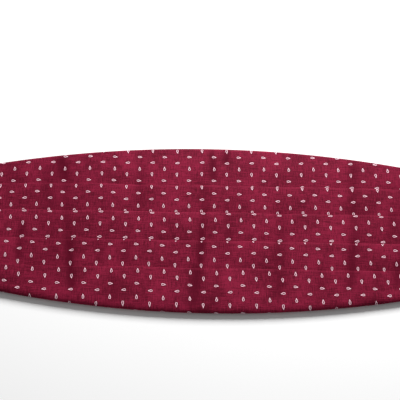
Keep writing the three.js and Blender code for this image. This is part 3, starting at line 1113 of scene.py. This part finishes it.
    def folded_edges(self, x: np.ndarray) -> list[FoldedEdge]:
        """Work out every pleat along the panel.

        Past its fold each band keeps the rows of pattern that it has in the middle of the panel, so the tucks
        take up what the bands lose towards the ends.

        Args:
            x: The stations, in one column.

        Returns:
            The pleats at every station, from the uppermost down.
        """
        lines = [self.fold_line(pleat, x) for pleat in self.pleats] + [-self.edge(x, self.lower_reach)]
        row = self.first_row - self.pleats[0].fold * self.half_height + self.first_skew * x
        above, shift, skew = row, self.first_shift, self.first_skew
        edges = []
        below = self.pleats[1:] + self.pleats[-1:]
        for pleat, following, y, band_end in zip(self.pleats, below, lines, lines[1:]):
            beyond = row + pleat.hidden + (pleat.skew - skew) * x
            edges.append(FoldedEdge(pleat, y, band_end, above, beyond, shift))
            above, shift, skew = beyond + y - band_end, pleat.shift, pleat.skew
            row = beyond + (pleat.fold - following.fold) * self.half_height
        return edges

    def add_back(self, line: ClothLine, v_zero: np.ndarray) -> None:
        """Add the back, from its lapped seam to the upper edge, and the half ellipse round that edge.

        Args:
            line: The line that is put together.
            v_zero: V that the uppermost band would have at a Y of 0.
        """
        edge = self.edge(line.stations, self.upper_reach)
        seam = self.seam_inset - self.edge(line.stations, self.lower_reach)
        half = self.upper_height / 2
        roll = math.pi * (half + self.upper_reach) / 2
        v_back = v_zero - roll - 2 * edge
        for y, level in ((seam, self.back + self.seam_depth), (seam + self.seam_width, self.back)):
            line.add(y, level, v_back + y, self.first_shift, 0.0)
        y = seam + self.seam_width + (edge - seam - self.seam_width) * steps(self.back_steps)
        line.add(y, self.back, v_back + y, self.first_shift, 0.0)
        share = steps(self.edge_steps)
        angle = math.pi * (share - 0.5)
        y = edge + self.upper_reach * np.cos(angle)
        z = self.back + half + half * np.sin(angle)
        line.add(y, z, v_zero - edge - roll * (1 - share), self.first_shift, 0.0)

    def add_upper_band(self, line: ClothLine, fold: np.ndarray, v_zero: np.ndarray) -> None:
        """Add the uppermost band, which falls as a parabola from the upper edge to the first fold.

        Args:
            line: The line that is put together.
            fold: Y of the first folded edge.
            v_zero: V that the band would have at a Y of 0.
        """
        edge = self.edge(line.stations, self.upper_reach)
        y = edge + (fold - edge) * steps(self.upper_steps)
        rise = 1.0 - ((edge - y) / (edge - fold)) ** 2
        level = self.low + (self.back + self.upper_height - self.low) * rise
        line.add(y, level, v_zero - y, self.first_shift, 0.0)

    def add_tuck(self, line: ClothLine, edge: FoldedEdge) -> None:
        """Add a pleat's hidden tuck and its folded edge.

        The cloth runs down behind the band, turns half a circle at the foot, comes up in front of itself and
        turns half a circle at the fold. tuck_shares says how much of the hidden cloth is used up by then, and
        the painted highlight along the fold grows with the square of the way round it.

        Args:
            line: The line that is put together.
            edge: The pleat at every station.
        """
        bend, low = self.bend, self.low
        foot = self.foot(edge.pleat, edge.y, line.stations) + self.wall / 2 + bend
        head = edge.y - self.wall / 2 - bend
        slope = 4 * bend / (edge.y - edge.band_end)
        down, inwards, up, outwards = (steps(count) for count in self.tuck_steps)
        y_down = edge.y + (foot - edge.y) * down
        y_up = foot + (head - foot) * up
        inner = -math.pi * (0.5 + inwards)
        outer = math.pi * (outwards - 0.5)
        turn_level = low - slope * (edge.y - foot) + bend
        stretches = (
            (down, y_down, low - slope * (edge.y - y_down), 0.0),
            (inwards, foot + bend * np.cos(inner), turn_level + bend * np.sin(inner), 0.0),
            (up, y_up, low + 2 * bend - slope * (edge.y - y_up), 0.0),
            # The turn at the folded edge carries the painted highlight
            (outwards, head + bend * np.cos(outer), low + 3 * bend + bend * np.sin(outer), outwards ** 2),
        )
        for (way, y, z, crease), begun, done in zip(stretches, self.tuck_shares, self.tuck_shares[1:]):
            share = begun + (done - begun) * way
            v = edge.above + (edge.beyond - edge.above) * share
            shift = edge.shift_above + (edge.pleat.shift - edge.shift_above) * share
            line.add(y, z, v, shift, self.fold_highlight_share * crease)

    def add_band(self, line: ClothLine, edge: FoldedEdge, lowest: bool) -> None:
        """Add the band below a fold: a parabola down to the next fold, or an ease to the lower edge.

        Args:
            line: The line that is put together.
            edge: The pleat that the band comes out of.
            lowest: Whether the band runs to the lower edge.
        """
        head = edge.y - self.wall / 2 - self.bend
        y = head + (edge.band_end - head) * steps(self.lowest_steps if lowest else self.band_steps)
        if lowest:
            foot = self.foot(edge.pleat, edge.y, line.stations)
            share = ease(0.0, 1.0, (y - edge.band_end) / (foot - edge.band_end))
            end_level = self.back + self.lower_height
        else:
            share = 1.0 - ((head - y) / (head - edge.band_end)) ** 2
            end_level = self.low
        level = end_level + (self.high - end_level) * share
        line.add(y, level, edge.beyond + edge.y - y, edge.pleat.shift, 0.0)

    def add_lower_edge(self, line: ClothLine, edge: FoldedEdge) -> None:
        """Add the half ellipse round the lower edge, and the strip of back up to the seam.

        Args:
            line: The line that is put together.
            edge: The lowest pleat.
        """
        v_edge = edge.beyond + edge.y - edge.band_end
        half = self.lower_height / 2
        roll = math.pi * (half + self.lower_reach) / 2
        share = steps(self.edge_steps)
        angle = math.pi * (share + 0.5)
        y = edge.band_end + self.lower_reach * np.cos(angle)
        z = self.back + half + half * np.sin(angle)
        line.add(y, z, v_edge + roll * share, edge.pleat.shift, 0.0)
        inset = (self.seam_inset - self.seam_width) * steps(self.seam_steps)
        line.add(edge.band_end + inset, self.back, v_edge + roll + inset, edge.pleat.shift, 0.0)

    def middle_line(self, x: np.ndarray) -> np.ndarray:
        """Work out the cloth's middle line round the panel, at each station.

        The line goes over the back from a seam near the lower edge, round the upper edge, down the front
        through every pleat, and round the lower edge to the seam. Then the front is lifted over its hollow,
        both ends ride up on their tabs, and the lower edge curls off the table.

        Args:
            x: The stations, in one column.

        Returns:
            Y, Z, V, pattern shift and painted fold highlight of each point, by station.
        """
        line = ClothLine(x)
        edges = self.folded_edges(x)
        v_zero = edges[0].above + edges[0].y
        self.add_back(line, v_zero)
        self.add_upper_band(line, edges[0].y, v_zero)
        for edge in edges:
            self.add_tuck(line, edge)
            self.add_band(line, edge, lowest=edge is edges[-1])
        self.add_lower_edge(line, edges[-1])
        joined = line.joined()
        y, z = joined[:2]
        ride = self.end_lift * ease(*self.ride_up, np.abs(x))
        curl = ease(*self.curl_grows, -y / self.outline(x)) * (1.0 - ease(*self.curl_fades, np.abs(x)))
        curl = self.edge_gap * curl * np.clip(1.0 - (z - self.back) / self.lower_height, 0.0, 1.0)
        joined[1] = z + self.lift(x, y) * ease(self.back, self.low, z) + ride + curl
        return joined

    def build(self) -> bpy.types.Object:
        """Build the panel, with a painted highlight along its folded edges and painted shade in its dents.

        Returns:
            The panel's cloth.
        """
        x = np.linspace(-self.half_length, self.half_length, self.stations + 1)[:, None]
        y, z, v, shift, crease = self.middle_line(x)
        v = np.concatenate([v, 2 * v[:, -1:] - v[:, -2:-1]], axis=1)
        cloth = np.stack([x - np.concatenate([shift, shift[:, -1:]], axis=1), v])
        piece = sleeve("pleated_cloth", x, (y, z), (self.wall / 2, -self.wall / 2), cloth, self.silk)
        # Painted shade in the dents, on the front only
        dent_shades = np.clip(self.dip(x, y), 0.0, 1.0) * ease(self.hollow / 2, self.hollow, z)
        # Keep the painted fold highlight and the painted dent shade as layers on the cloth
        for name, values in ((FOLD_HIGHLIGHT_LAYER, crease), (DENT_SHADE_LAYER, dent_shades)):
            layer = piece.data.attributes.new(name, "FLOAT", "POINT")
            layer.data.foreach_set("value", lined(values).astype(np.float32).ravel())
        seat(piece, Slot.SILK, "pleated_panel")
        return piece


@dataclass
class EndTab:
    """A folded cloth sleeve that holds the gathered end of the panel, and narrows to the strap.

    hem_fall says between which two places its hem comes down, measured from the hem's width, and centred
    how far in from its sides the gathers reach their full height, as a share of its half width.
    """

    side: Side
    silk: bpy.types.Material
    thread: Thread
    mouth: float = TAB_MOUTH
    panel_end: float = PANEL_END
    throat: float = TAB_THROAT
    mouth_half: float = 31.0
    end_half: float = 26.35
    throat_half: float = 13.85
    mouth_height: float = 7.75
    throat_height: float = 3.9
    wall: float = 0.9
    corner_reach: float = 2.6
    hem_width: float = 6.0
    hem_rise: float = 0.22
    hem_fall: tuple[float, float] = (-0.6, 0.4)
    centred: float = 0.5
    gather_waves: Waves = ((2.6, 0.896, 0.7), (4.7, 0.512, 2.0))
    sag: float = 0.25
    seam_insets: tuple[float, ...] = (1.2, 3.4)
    seam_margin: float = 1.0
    box_inset: float = 2.5
    box_length: float = 7.0
    box_half: float = 9.6
    stations: int = 88
    under_steps: int = 40
    corner_steps: int = 12
    over_steps: int = 60

    def half_width(self, x: np.ndarray | float) -> np.ndarray:
        """Half width of the outside at x."""
        places = (self.mouth, self.panel_end, self.throat)
        return np.interp(x, places, (self.mouth_half, self.end_half, self.throat_half))

    def height(self, x: np.ndarray) -> np.ndarray:
        """Height of the outside at x, under the hem's rise."""
        heights = (self.mouth_height, self.throat_height)
        return np.interp(x, (self.panel_end, self.throat), heights) - self.hem_rise

    def top(self, x: np.ndarray, y: np.ndarray) -> np.ndarray:
        """Work out the upper face: the sleeve, its folded hem, and gathers towards the strap.

        Args:
            x: X of each place.
            y: Y of each place.

        Returns:
            The height in millimetres.
        """
        share = y / self.half_width(x)
        hem_start, hem_end = (self.hem_width + offset for offset in self.hem_fall)
        hem = self.hem_rise * (1.0 - ease(hem_start, hem_end, x - self.mouth))
        run = ease(self.panel_end, self.throat, x)
        pulled = gathers(share, self.gather_waves) * run * (1.0 - run) - self.sag * run
        return self.height(x) + hem + pulled * ease(0.0, self.centred, 1.0 - np.abs(share))

    def section(self, x: np.ndarray) -> tuple[np.ndarray, np.ndarray]:
        """Draw the outside round the tab: along the table, round one side, over the top, round the other.

        Args:
            x: The stations, in one column.

        Returns:
            Y and Z of the points, one row for each station.
        """
        flat = self.half_width(x) - self.corner_reach
        near = math.pi * (steps(self.corner_steps) - 0.5)
        far = math.pi * (steps(self.corner_steps)[:, :-1] + 0.5)
        under = np.concatenate([[[0.0]], steps(self.under_steps)], axis=1)
        parts = (
            (flat * (2 * under - 1), np.zeros_like(under)),
            (flat + self.corner_reach * np.cos(near), (1 + np.sin(near)) / 2),
            (flat * (1 - 2 * steps(self.over_steps)), np.ones((1, self.over_steps))),
            (self.corner_reach * np.cos(far) - flat, (1 + np.sin(far)) / 2),
        )
        y, level = (np.concatenate(part, axis=1) for part in zip(*parts))
        return y, level * self.top(x, y)

    def build(self) -> list[bpy.types.Object]:
        """Build the sleeve and its rows of stitches.

        V runs round it from 0 in the middle of its top, and straight across on the table side.

        Returns:
            The sleeve and its stitches.
        """
        x = np.linspace(self.mouth, self.throat, self.stations + 1)[:, None]
        y, z = self.section(x)
        girth = np.cumsum(spans(y, z), axis=1)
        v = np.concatenate([np.zeros_like(x), girth], axis=1)
        middle = self.under_steps + self.corner_steps + self.over_steps // 2
        v = v - v[:, middle:middle + 1]
        under = slice(0, self.under_steps + 1)
        v[:, under] = self.mouth_half + y[:, under]
        cloth = np.stack([np.broadcast_to(x, v.shape), v])
        end = self.side.name.lower()
        piece = sleeve(f"tab_cloth_{end}", x, (y, z), (0.0, -self.wall), cloth, self.silk, self.side)
        seat(piece, Slot.SILK, f"end_tab_{end}")
        return [piece, self.sew()]

    def sew(self) -> bpy.types.Object:
        """Sew a double row through the hem, and a box over the strap's end.

        Returns:
            The stitches.
        """
        seams = []
        for inset in self.seam_insets:
            x = self.mouth + self.hem_width - inset
            reach = float(self.half_width(x)) - self.corner_reach - self.seam_margin
            seams.append(self.thread.row(x, reach))
        far = self.throat - self.box_inset
        near, half = far - self.box_length, self.box_half
        corners = np.array([(near, -half), (far, -half), (far, half), (near, half), (near, -half)])
        seams += [self.thread.line(first, last) for first, last in zip(corners, corners[1:])]
        plans = (np.concatenate(points) for points in zip(*seams))
        lifted = [np.column_stack([plan, self.top(*plan.T)]) for plan in plans]
        piece = self.thread.sew(f"tab_stitches_{self.side.name.lower()}", *lifted, self.side)
        seat(piece, Slot.SILK)
        return piece


@dataclass
class Strap:
    """A band of ribbed webbing that follows a path in the XZ plane.

    crowding is the share of a sine in the spacing of its columns, which draws them together at the edges,
    and edge_rib the share of the ribs' depth that is left on the selvedge.
    """

    side: Side
    webbing: bpy.types.Material
    thread: Thread
    width: float = 25.0
    wall: float = 1.2
    tuck: float = 12.0
    throat: float = TAB_THROAT
    in_tab: float = 1.95
    settle: float = 16.0
    rib_pitch: float = 1.3
    rib_height: float = 0.07
    selvedge: float = 1.1
    edge_rib: float = 0.35
    edge_round: float = 0.55
    thinnest: float = 0.02
    scallop: float = 0.1
    seal_length: float = 0.9
    seal_thinning: float = 0.35
    crowding: float = 0.15
    sample: float = 0.33
    columns: int = 24
    path_points: int = 600

    def level(self, x: np.ndarray) -> np.ndarray:
        """Height of the middle line at x, from inside the tab down to the table."""
        return self.in_tab + (self.wall / 2 - self.in_tab) * ease(0.0, self.settle, x - self.throat)

    def path(self) -> np.ndarray:
        """X and Z of the middle line, closely spaced."""
        raise NotImplementedError

    def resampled(self) -> tuple[np.ndarray, np.ndarray, np.ndarray]:
        """Space the path evenly.

        Returns:
            The distance along the path, its points and its unit normals, which point up at the start.
        """
        path = self.path()
        run = np.concatenate([[0.0], np.cumsum(np.hypot(*np.diff(path, axis=0).T))])
        distance = np.linspace(0.0, run[-1], int(run[-1] / self.sample) + 1)
        points = np.stack([np.interp(distance, run, path[:, axis]) for axis in (0, 1)], axis=1)
        tangent = unit(np.gradient(points, axis=0), 1)
        return distance, points, np.stack([-tangent[:, 1], tangent[:, 0]], axis=1)

    def weave_band(self, name: str) -> bpy.types.Object:
        """Weave the band: a flat ribbed section carried along the path, closed at both ends.

        The ribs' hollows follow the cosine of the distance along, less 1. Half the thickness is half the wall
        less their depth, times the root of the way in from the edge over edge_round, and it thins towards
        both sealed ends. The hollows also scallop the selvedges.

        Args:
            name: Name of the piece.

        Returns:
            The new object.
        """
        distance, points, normals = self.resampled()
        even = np.linspace(-1.0, 1.0, self.columns + 1)
        share = (1.0 - self.crowding) * even + self.crowding * np.sin(math.pi / 2 * even)
        hollow = (np.cos(TAU * distance / self.rib_pitch) - 1.0)[:, None]
        inset = self.width / 2 * (1.0 - np.abs(share))
        body = ease(0.0, self.selvedge, inset)
        rib = self.rib_height * hollow * (self.edge_rib + (1.0 - self.edge_rib) * body)
        half = (self.wall / 2 + rib) * np.sqrt(np.clip(inset / self.edge_round, self.thinnest, 1.0))
        from_end = np.minimum(distance, distance[-1] - distance)[:, None]
        half = half * (1.0 - self.seal_thinning * (1.0 - ease(0.0, self.seal_length, from_end)))
        y = self.width / 2 * share + self.scallop * hollow * np.sign(share) * (1.0 - body)
        sides = []
        for way in (-1.0, 1.0):
            x, z = (points[:, None] + way * half[..., None] * normals[:, None]).transpose(2, 0, 1)
            sides.append(np.stack([x, y, z], axis=2))
        band = np.concatenate([sides[0], sides[1][:, ::-1]], axis=1)
        across = np.concatenate([y, 2 * self.width - y[:, ::-1], y[:, :1] + 4 * self.width], axis=1)
        plane = np.stack([np.broadcast_to(distance[:, None], across.shape), across])
        faces = tube_faces(*band.shape[:2])
        wall_map = corner_map(plane, closed=False)
        cloth = np.concatenate([wall_map, np.zeros((faces.size - len(wall_map), 2))])
        return mesh_piece(name, turned(band.reshape(-1, 3), self.side), faces, self.webbing, cloth)

    def sew_rows(self, name: str, rows: tuple[float, ...], reach: float) -> bpy.types.Object:
        """Sew rows of stitches across the strap's upper face.

        Args:
            name: Name of the piece.
            rows: Where the rows lie, measured outwards along X.
            reach: Half length of each row.

        Returns:
            The new object.
        """
        _, points, normals = self.resampled()
        upper = normals[:, 1] > 0.5
        seams = []
        for x in rows:
            z = float(np.interp(x, points[upper, 0], points[upper, 1])) + self.wall / 2 - self.rib_height
            plans = self.thread.row(x, reach)
            seams.append([np.column_stack([plan, np.full(len(plan), z)]) for plan in plans])
        piece = self.thread.sew(name, *(np.concatenate(points) for points in zip(*seams)), self.side)
        seat(piece, Slot.WEBBING)
        return piece


@dataclass
class FreeStrap(Strap):
    """The longer strap, straight out of its tab to a plain sealed end."""

    length: float = 190.0

    def path(self) -> np.ndarray:
        """X and Z of the middle line, straight along the table once it has come down to it."""
        x = np.linspace(self.throat - self.tuck, self.throat + self.length, self.path_points)
        return np.stack([x, self.level(x)], axis=1)

    def build(self) -> list[bpy.types.Object]:
        """Build the strap.

        Returns:
            Its webbing.
        """
        piece = self.weave_band("webbing_right")
        seat(piece, Slot.WEBBING, "strap_right")
        return [piece]


@dataclass
class BuckleStrap(Strap):
    """The shorter strap, folded round the buckle's bar and sewn down under itself."""

    path_points: int = 400
    bar_x: float = BAR_X
    bar_z: float = BAR_Z
    bar_width: float = BAR_WIDTH
    bend_x: float = 387.2
    bend_radius: float = 2.15
    bend_steps: int = 60
    fold_back: float = 22.0
    fold_points: int = 120
    seat_gap: float = 0.35
    seam_inset: float = 2.5
    seam_pitch: float = 4.0
    seam_margin: float = 1.6

    def path(self) -> np.ndarray:
        """Draw the middle line: out over the bar, half a turn round it, and back along the table.

        Returns:
            X and Z of its points.
        """
        fold_end = self.bar_x - self.fold_back
        climb_end = fold_end - self.seat_gap
        stacked = 1.5 * self.wall + self.seat_gap
        over = self.bar_z + self.bend_radius
        x = np.linspace(self.throat - self.tuck, self.bend_x, self.path_points)
        z = self.level(x)
        z = z + (stacked - self.wall / 2) * ease(climb_end - self.settle, climb_end, x)
        z = z + (over - stacked) * ease(fold_end, self.bar_x - self.bar_width, x)
        angle = math.pi / 2 - math.pi * steps(self.bend_steps)[0]
        centre = np.array([self.bend_x, self.bar_z])
        bend = centre + self.bend_radius * np.stack([np.cos(angle), np.sin(angle)], axis=1)
        back = np.linspace(self.bend_x, fold_end, self.fold_points)[1:]
        under = np.stack([back, np.full_like(back, self.wall / 2)], axis=1)
        return np.concatenate([np.stack([x, z], axis=1), bend, under])

    def build(self) -> list[bpy.types.Object]:
        """Build the strap and the stitches that close its loop.

        Returns:
            Its webbing and its stitches.
        """
        piece = self.weave_band("webbing_left")
        seat(piece, Slot.WEBBING, "strap_left")
        first = self.bar_x - self.fold_back + self.seam_inset
        rows = (first, first + self.seam_pitch)
        return [piece, self.sew_rows("strap_stitches", rows, self.width / 2 - self.seam_margin)]


@dataclass
class Buckle:
    """The clasp: a flat frame with a middle bar and two slots, all of one moulding."""

    plastic: bpy.types.Material
    bar_x: float = BAR_X
    bar_z: float = BAR_Z
    bar: float = BAR_WIDTH
    slot: float = 7.0
    rail: float = 4.0
    slot_half: float = 13.5
    thickness: float = 2.4
    outer_radius: float = 3.0
    inner_radius: float = 1.0
    softness: float = 0.45
    bar_share: float = 0.97
    table_gap: float = 0.05
    corner_points: int = 13
    side_steps: int = 20
    section_points: int = 28
    bar_rings: int = 31

    def rounded(self, low: float, high: float, half: float, radius: float) -> np.ndarray:
        """Draw a rectangle with round corners, anticlockwise from its right-hand side.

        Each corner is a quarter circle, and each side has even steps between two corners.

        Args:
            low: Least X.
            high: Greatest X.
            half: Half width along Y.
            radius: Radius of the corners.

        Returns:
            X and Y of the points.
        """
        arcs = []
        corners = (
            (high - radius, half - radius),
            (low + radius, half - radius),
            (low + radius, radius - half),
            (high - radius, radius - half),
        )
        for number, centre in enumerate(corners):
            angle = math.pi / 2 * (number + np.linspace(0.0, 1.0, self.corner_points))
            arcs.append(np.array(centre) + radius * np.stack([np.cos(angle), np.sin(angle)], axis=1))
        joined = []
        share = steps(self.side_steps)[0][:-1, None]
        for arc, following in zip(arcs, arcs[1:] + arcs[:1]):
            joined += [arc, arc[-1] + (following[0] - arc[-1]) * share]
        return np.concatenate(joined)

    def section(self) -> tuple[np.ndarray, np.ndarray]:
        """Draw the moulding's section, a rectangle with soft edges.

        Both its values are a cosine or a sine, raised to the power of softness with its sign kept.

        Returns:
            The points' shares from the inner to the outer edge, and their heights.
        """
        angle = TAU * np.arange(self.section_points) / self.section_points
        waves = (np.cos(angle), np.sin(angle))
        across, up = (np.sign(wave) * np.abs(wave) ** self.softness for wave in waves)
        return (1.0 + across) / 2, up * self.thickness / 2

    def ring(self) -> tuple[np.ndarray, np.ndarray]:
        """Carry the section round the frame, between its inner and its outer edge.

        Returns:
            The points and faces.
        """
        left = -self.bar / 2
        right = left + 3 * self.bar + 2 * self.slot
        outer = self.rounded(left, right, self.slot_half + self.rail, self.outer_radius)
        inner = self.rounded(left + self.bar, right - self.bar, self.slot_half, self.inner_radius)
        share, height = self.section()
        plan = inner[:, None] + (outer - inner)[:, None] * share[None, :, None]
        points = np.concatenate([plan, np.broadcast_to(height[None, :, None], plan.shape[:2] + (1,))], axis=2)
        return points.reshape(-1, 3), grid_quads(*plan.shape[:2])

    def cross_bar(self) -> tuple[np.ndarray, np.ndarray]:
        """Carry the section along the middle bar, with both ends inside the frame's rails.

        Returns:
            The points and faces.
        """
        share, height = self.section()
        x = self.bar + self.slot + (share - 0.5) * self.bar
        y = np.linspace(-1.0, 1.0, self.bar_rings) * (self.slot_half + self.rail / 2)
        z = self.bar_share * height
        points = np.stack(np.broadcast_arrays(x[None, :], y[:, None], z[None, :]), axis=2)
        # The bar runs along Y, so its faces are turned over, each about its first corner
        faces = np.roll(tube_faces(*points.shape[:2])[:, ::-1], 1, axis=1)
        return points.reshape(-1, 3), faces

    def placed(self, points: np.ndarray) -> np.ndarray:
        """Tip the buckle down about its inner bar until its far edge meets the table.

        Args:
            points: Places in the buckle's own frame, whose origin is the middle of its inner bar.

        Returns:
            The same places on the table.
        """
        reach = 2.5 * self.bar + 2 * self.slot
        tilt = math.asin((self.bar_z - self.thickness / 2 - self.table_gap) / (reach + self.thickness))
        x, y, z = points.T
        along = x * math.cos(tilt) + z * math.sin(tilt) + self.bar_x
        up = z * math.cos(tilt) - x * math.sin(tilt) + self.bar_z
        return turned(np.stack([along, y, up], axis=1), Side.LEFT)

    def build(self) -> list[bpy.types.Object]:
        """Build the frame and join the middle bar to it.

        Returns:
            The buckle.
        """
        made = []
        for name, (points, faces) in (("buckle_frame", self.ring()), ("buckle_bar", self.cross_bar())):
            made.append(mesh_piece(name, self.placed(points), faces, self.plastic))
        piece, bar = made
        join = piece.modifiers.new("join", "BOOLEAN")
        join.operation, join.solver, join.object = "UNION", "EXACT", bar
        joined = bpy.data.meshes.new_from_object(piece.evaluated_get(bpy.context.evaluated_depsgraph_get()))
        piece.modifiers.clear()
        piece.data = joined
        bpy.data.objects.remove(bar)
        joined.polygons.foreach_set("use_smooth", np.ones(len(joined.polygons), dtype=bool))
        seat(piece, Slot.PLASTIC, "buckle")
        return [piece]


@dataclass(frozen=True)
class Lamp:
    """A soft rectangular lamp, in metres and watts, turned to a point on the table."""

    name: str
    place: tuple[float, float, float]
    aim: tuple[float, float, float]
    size: tuple[float, float]
    power: float

    def light(self) -> None:
        """Put the lamp in the scene."""
        data = bpy.data.lights.new(self.name, "AREA")
        data.shape = "RECTANGLE"
        data.size, data.size_y = self.size
        data.energy = self.power
        lamp = bpy.data.objects.new(self.name, data)
        lamp.location = self.place
        lamp.rotation_mode = "QUATERNION"
        lamp.rotation_quaternion = (Vector(self.aim) - Vector(self.place)).to_track_quat("-Z", "Y")
        bpy.context.scene.collection.objects.link(lamp)


@dataclass(frozen=True)
class Studio:
    """The pale table, its soft light, and the camera at the photo's angle.

    target and distance are in millimetres and the angles in degrees. The table's size, the scale of its
    mottle, the camera's clip and the lamp are in metres.
    """

    target: tuple[float, float, float] = (-8.0, 24.7, 0.0)
    elevation: float = 65.0
    swing: float = 1.03
    roll: float = -2.0
    distance: float = 648.3
    lens: float = 73.8
    clip: tuple[float, float] = (0.01, 20.0)
    table_size: float = 6.0
    table_colour: Colour = (0.93, 0.93, 0.93, 1.0)
    mottle: float = 0.985
    mottle_scale: float = 6.0
    roughness: float = 0.95
    gloss: float = 0.1
    sky: float = 0.25
    lamp: Lamp = Lamp("key", (0.16, 0.77, 0.535), (0.02, 0.0, 0.0), (0.50, 0.40), 17.5)

    def table(self) -> bpy.types.Object:
        """Lay the table, with a faint unevenness in its matt paint.

        Returns:
            The table's top.
        """
        material, graph, shader = new_material("pale table")
        mottle = graph.noise(object_place(graph), self.mottle_scale)
        dim = scaled(self.table_colour, self.mottle)
        graph.feed(shader.inputs["Base Color"], graph.mix(mottle, dim, self.table_colour))
        shader.inputs["Roughness"].default_value = self.roughness
        shader.inputs["Specular IOR Level"].default_value = self.gloss
        half = self.table_size / MM / 2
        corners = np.array([(-half, -half, 0.0), (half, -half, 0.0), (half, half, 0.0), (-half, half, 0.0)])
        top = mesh_piece("table", corners, np.array([[0, 1, 2, 3]]), material, smooth=False)
        return top

    def camera(self) -> None:
        """Point the camera: its back axis is away from the target, and it is rolled about that axis."""
        up, side, roll = (math.radians(angle) for angle in (self.elevation, self.swing, self.roll))
        forward = Vector((math.cos(up) * math.sin(side), math.cos(up) * math.cos(side), -math.sin(up)))
        right = Vector((math.cos(side), -math.sin(side), 0.0))
        above = right.cross(forward)
        rolled_right = right * math.cos(roll) - above * math.sin(roll)
        rolled_above = right * math.sin(roll) + above * math.cos(roll)
        axes = Matrix((rolled_right, rolled_above, -forward)).transposed()
        data = bpy.data.cameras.new("camera")
        data.lens = self.lens
        data.clip_start, data.clip_end = self.clip
        camera = bpy.data.objects.new("camera", data)
        place = Vector(self.target) * MM - forward * self.distance * MM
        camera.matrix_world = Matrix.Translation(place) @ axes.to_4x4()
        bpy.context.scene.collection.objects.link(camera)
        bpy.context.scene.camera = camera

    def light(self) -> None:
        """Light the table evenly, and show whites as they are."""
        world = bpy.data.worlds.new("studio")
        world.use_nodes = True
        backdrop = world.node_tree.nodes["Background"]
        backdrop.inputs["Color"].default_value = (1.0, 1.0, 1.0, 1.0)
        backdrop.inputs["Strength"].default_value = self.sky
        bpy.context.scene.world = world
        self.lamp.light()
        bpy.context.scene.view_settings.view_transform = "Standard"


def main() -> None:
    """Build the sash, dress it, light it and report each piece."""
    logging.basicConfig(level=logging.INFO, format="%(name)s: %(message)s")
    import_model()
    studio = Studio()
    studio.camera()
    studio.light()
    studio.table()

    BotehRepeat().repeat_group()
    Weave().group()
    silk = SilkFinish().material()
    webbing = WebbingFinish().material()
    maroon = ThreadFinish("maroon thread", (0.42, 0.055, 0.110, 1.0)).material()
    black = ThreadFinish("black thread", (0.018, 0.017, 0.019, 1.0)).material()
    tab_thread = Thread(maroon, stitch=2.3, gap=0.5, radius=0.21)
    strap_thread = Thread(black, stitch=2.0, gap=0.6, radius=0.16)
    plastic = PlasticFinish().material()

    PleatedPanel(silk).build()
    for side in Side:
        EndTab(side, silk, tab_thread).build()
    FreeStrap(Side.RIGHT, webbing, strap_thread).build()
    BuckleStrap(Side.LEFT, webbing, strap_thread).build()
    Buckle(plastic).build()


if __name__ == "__main__":
    main()
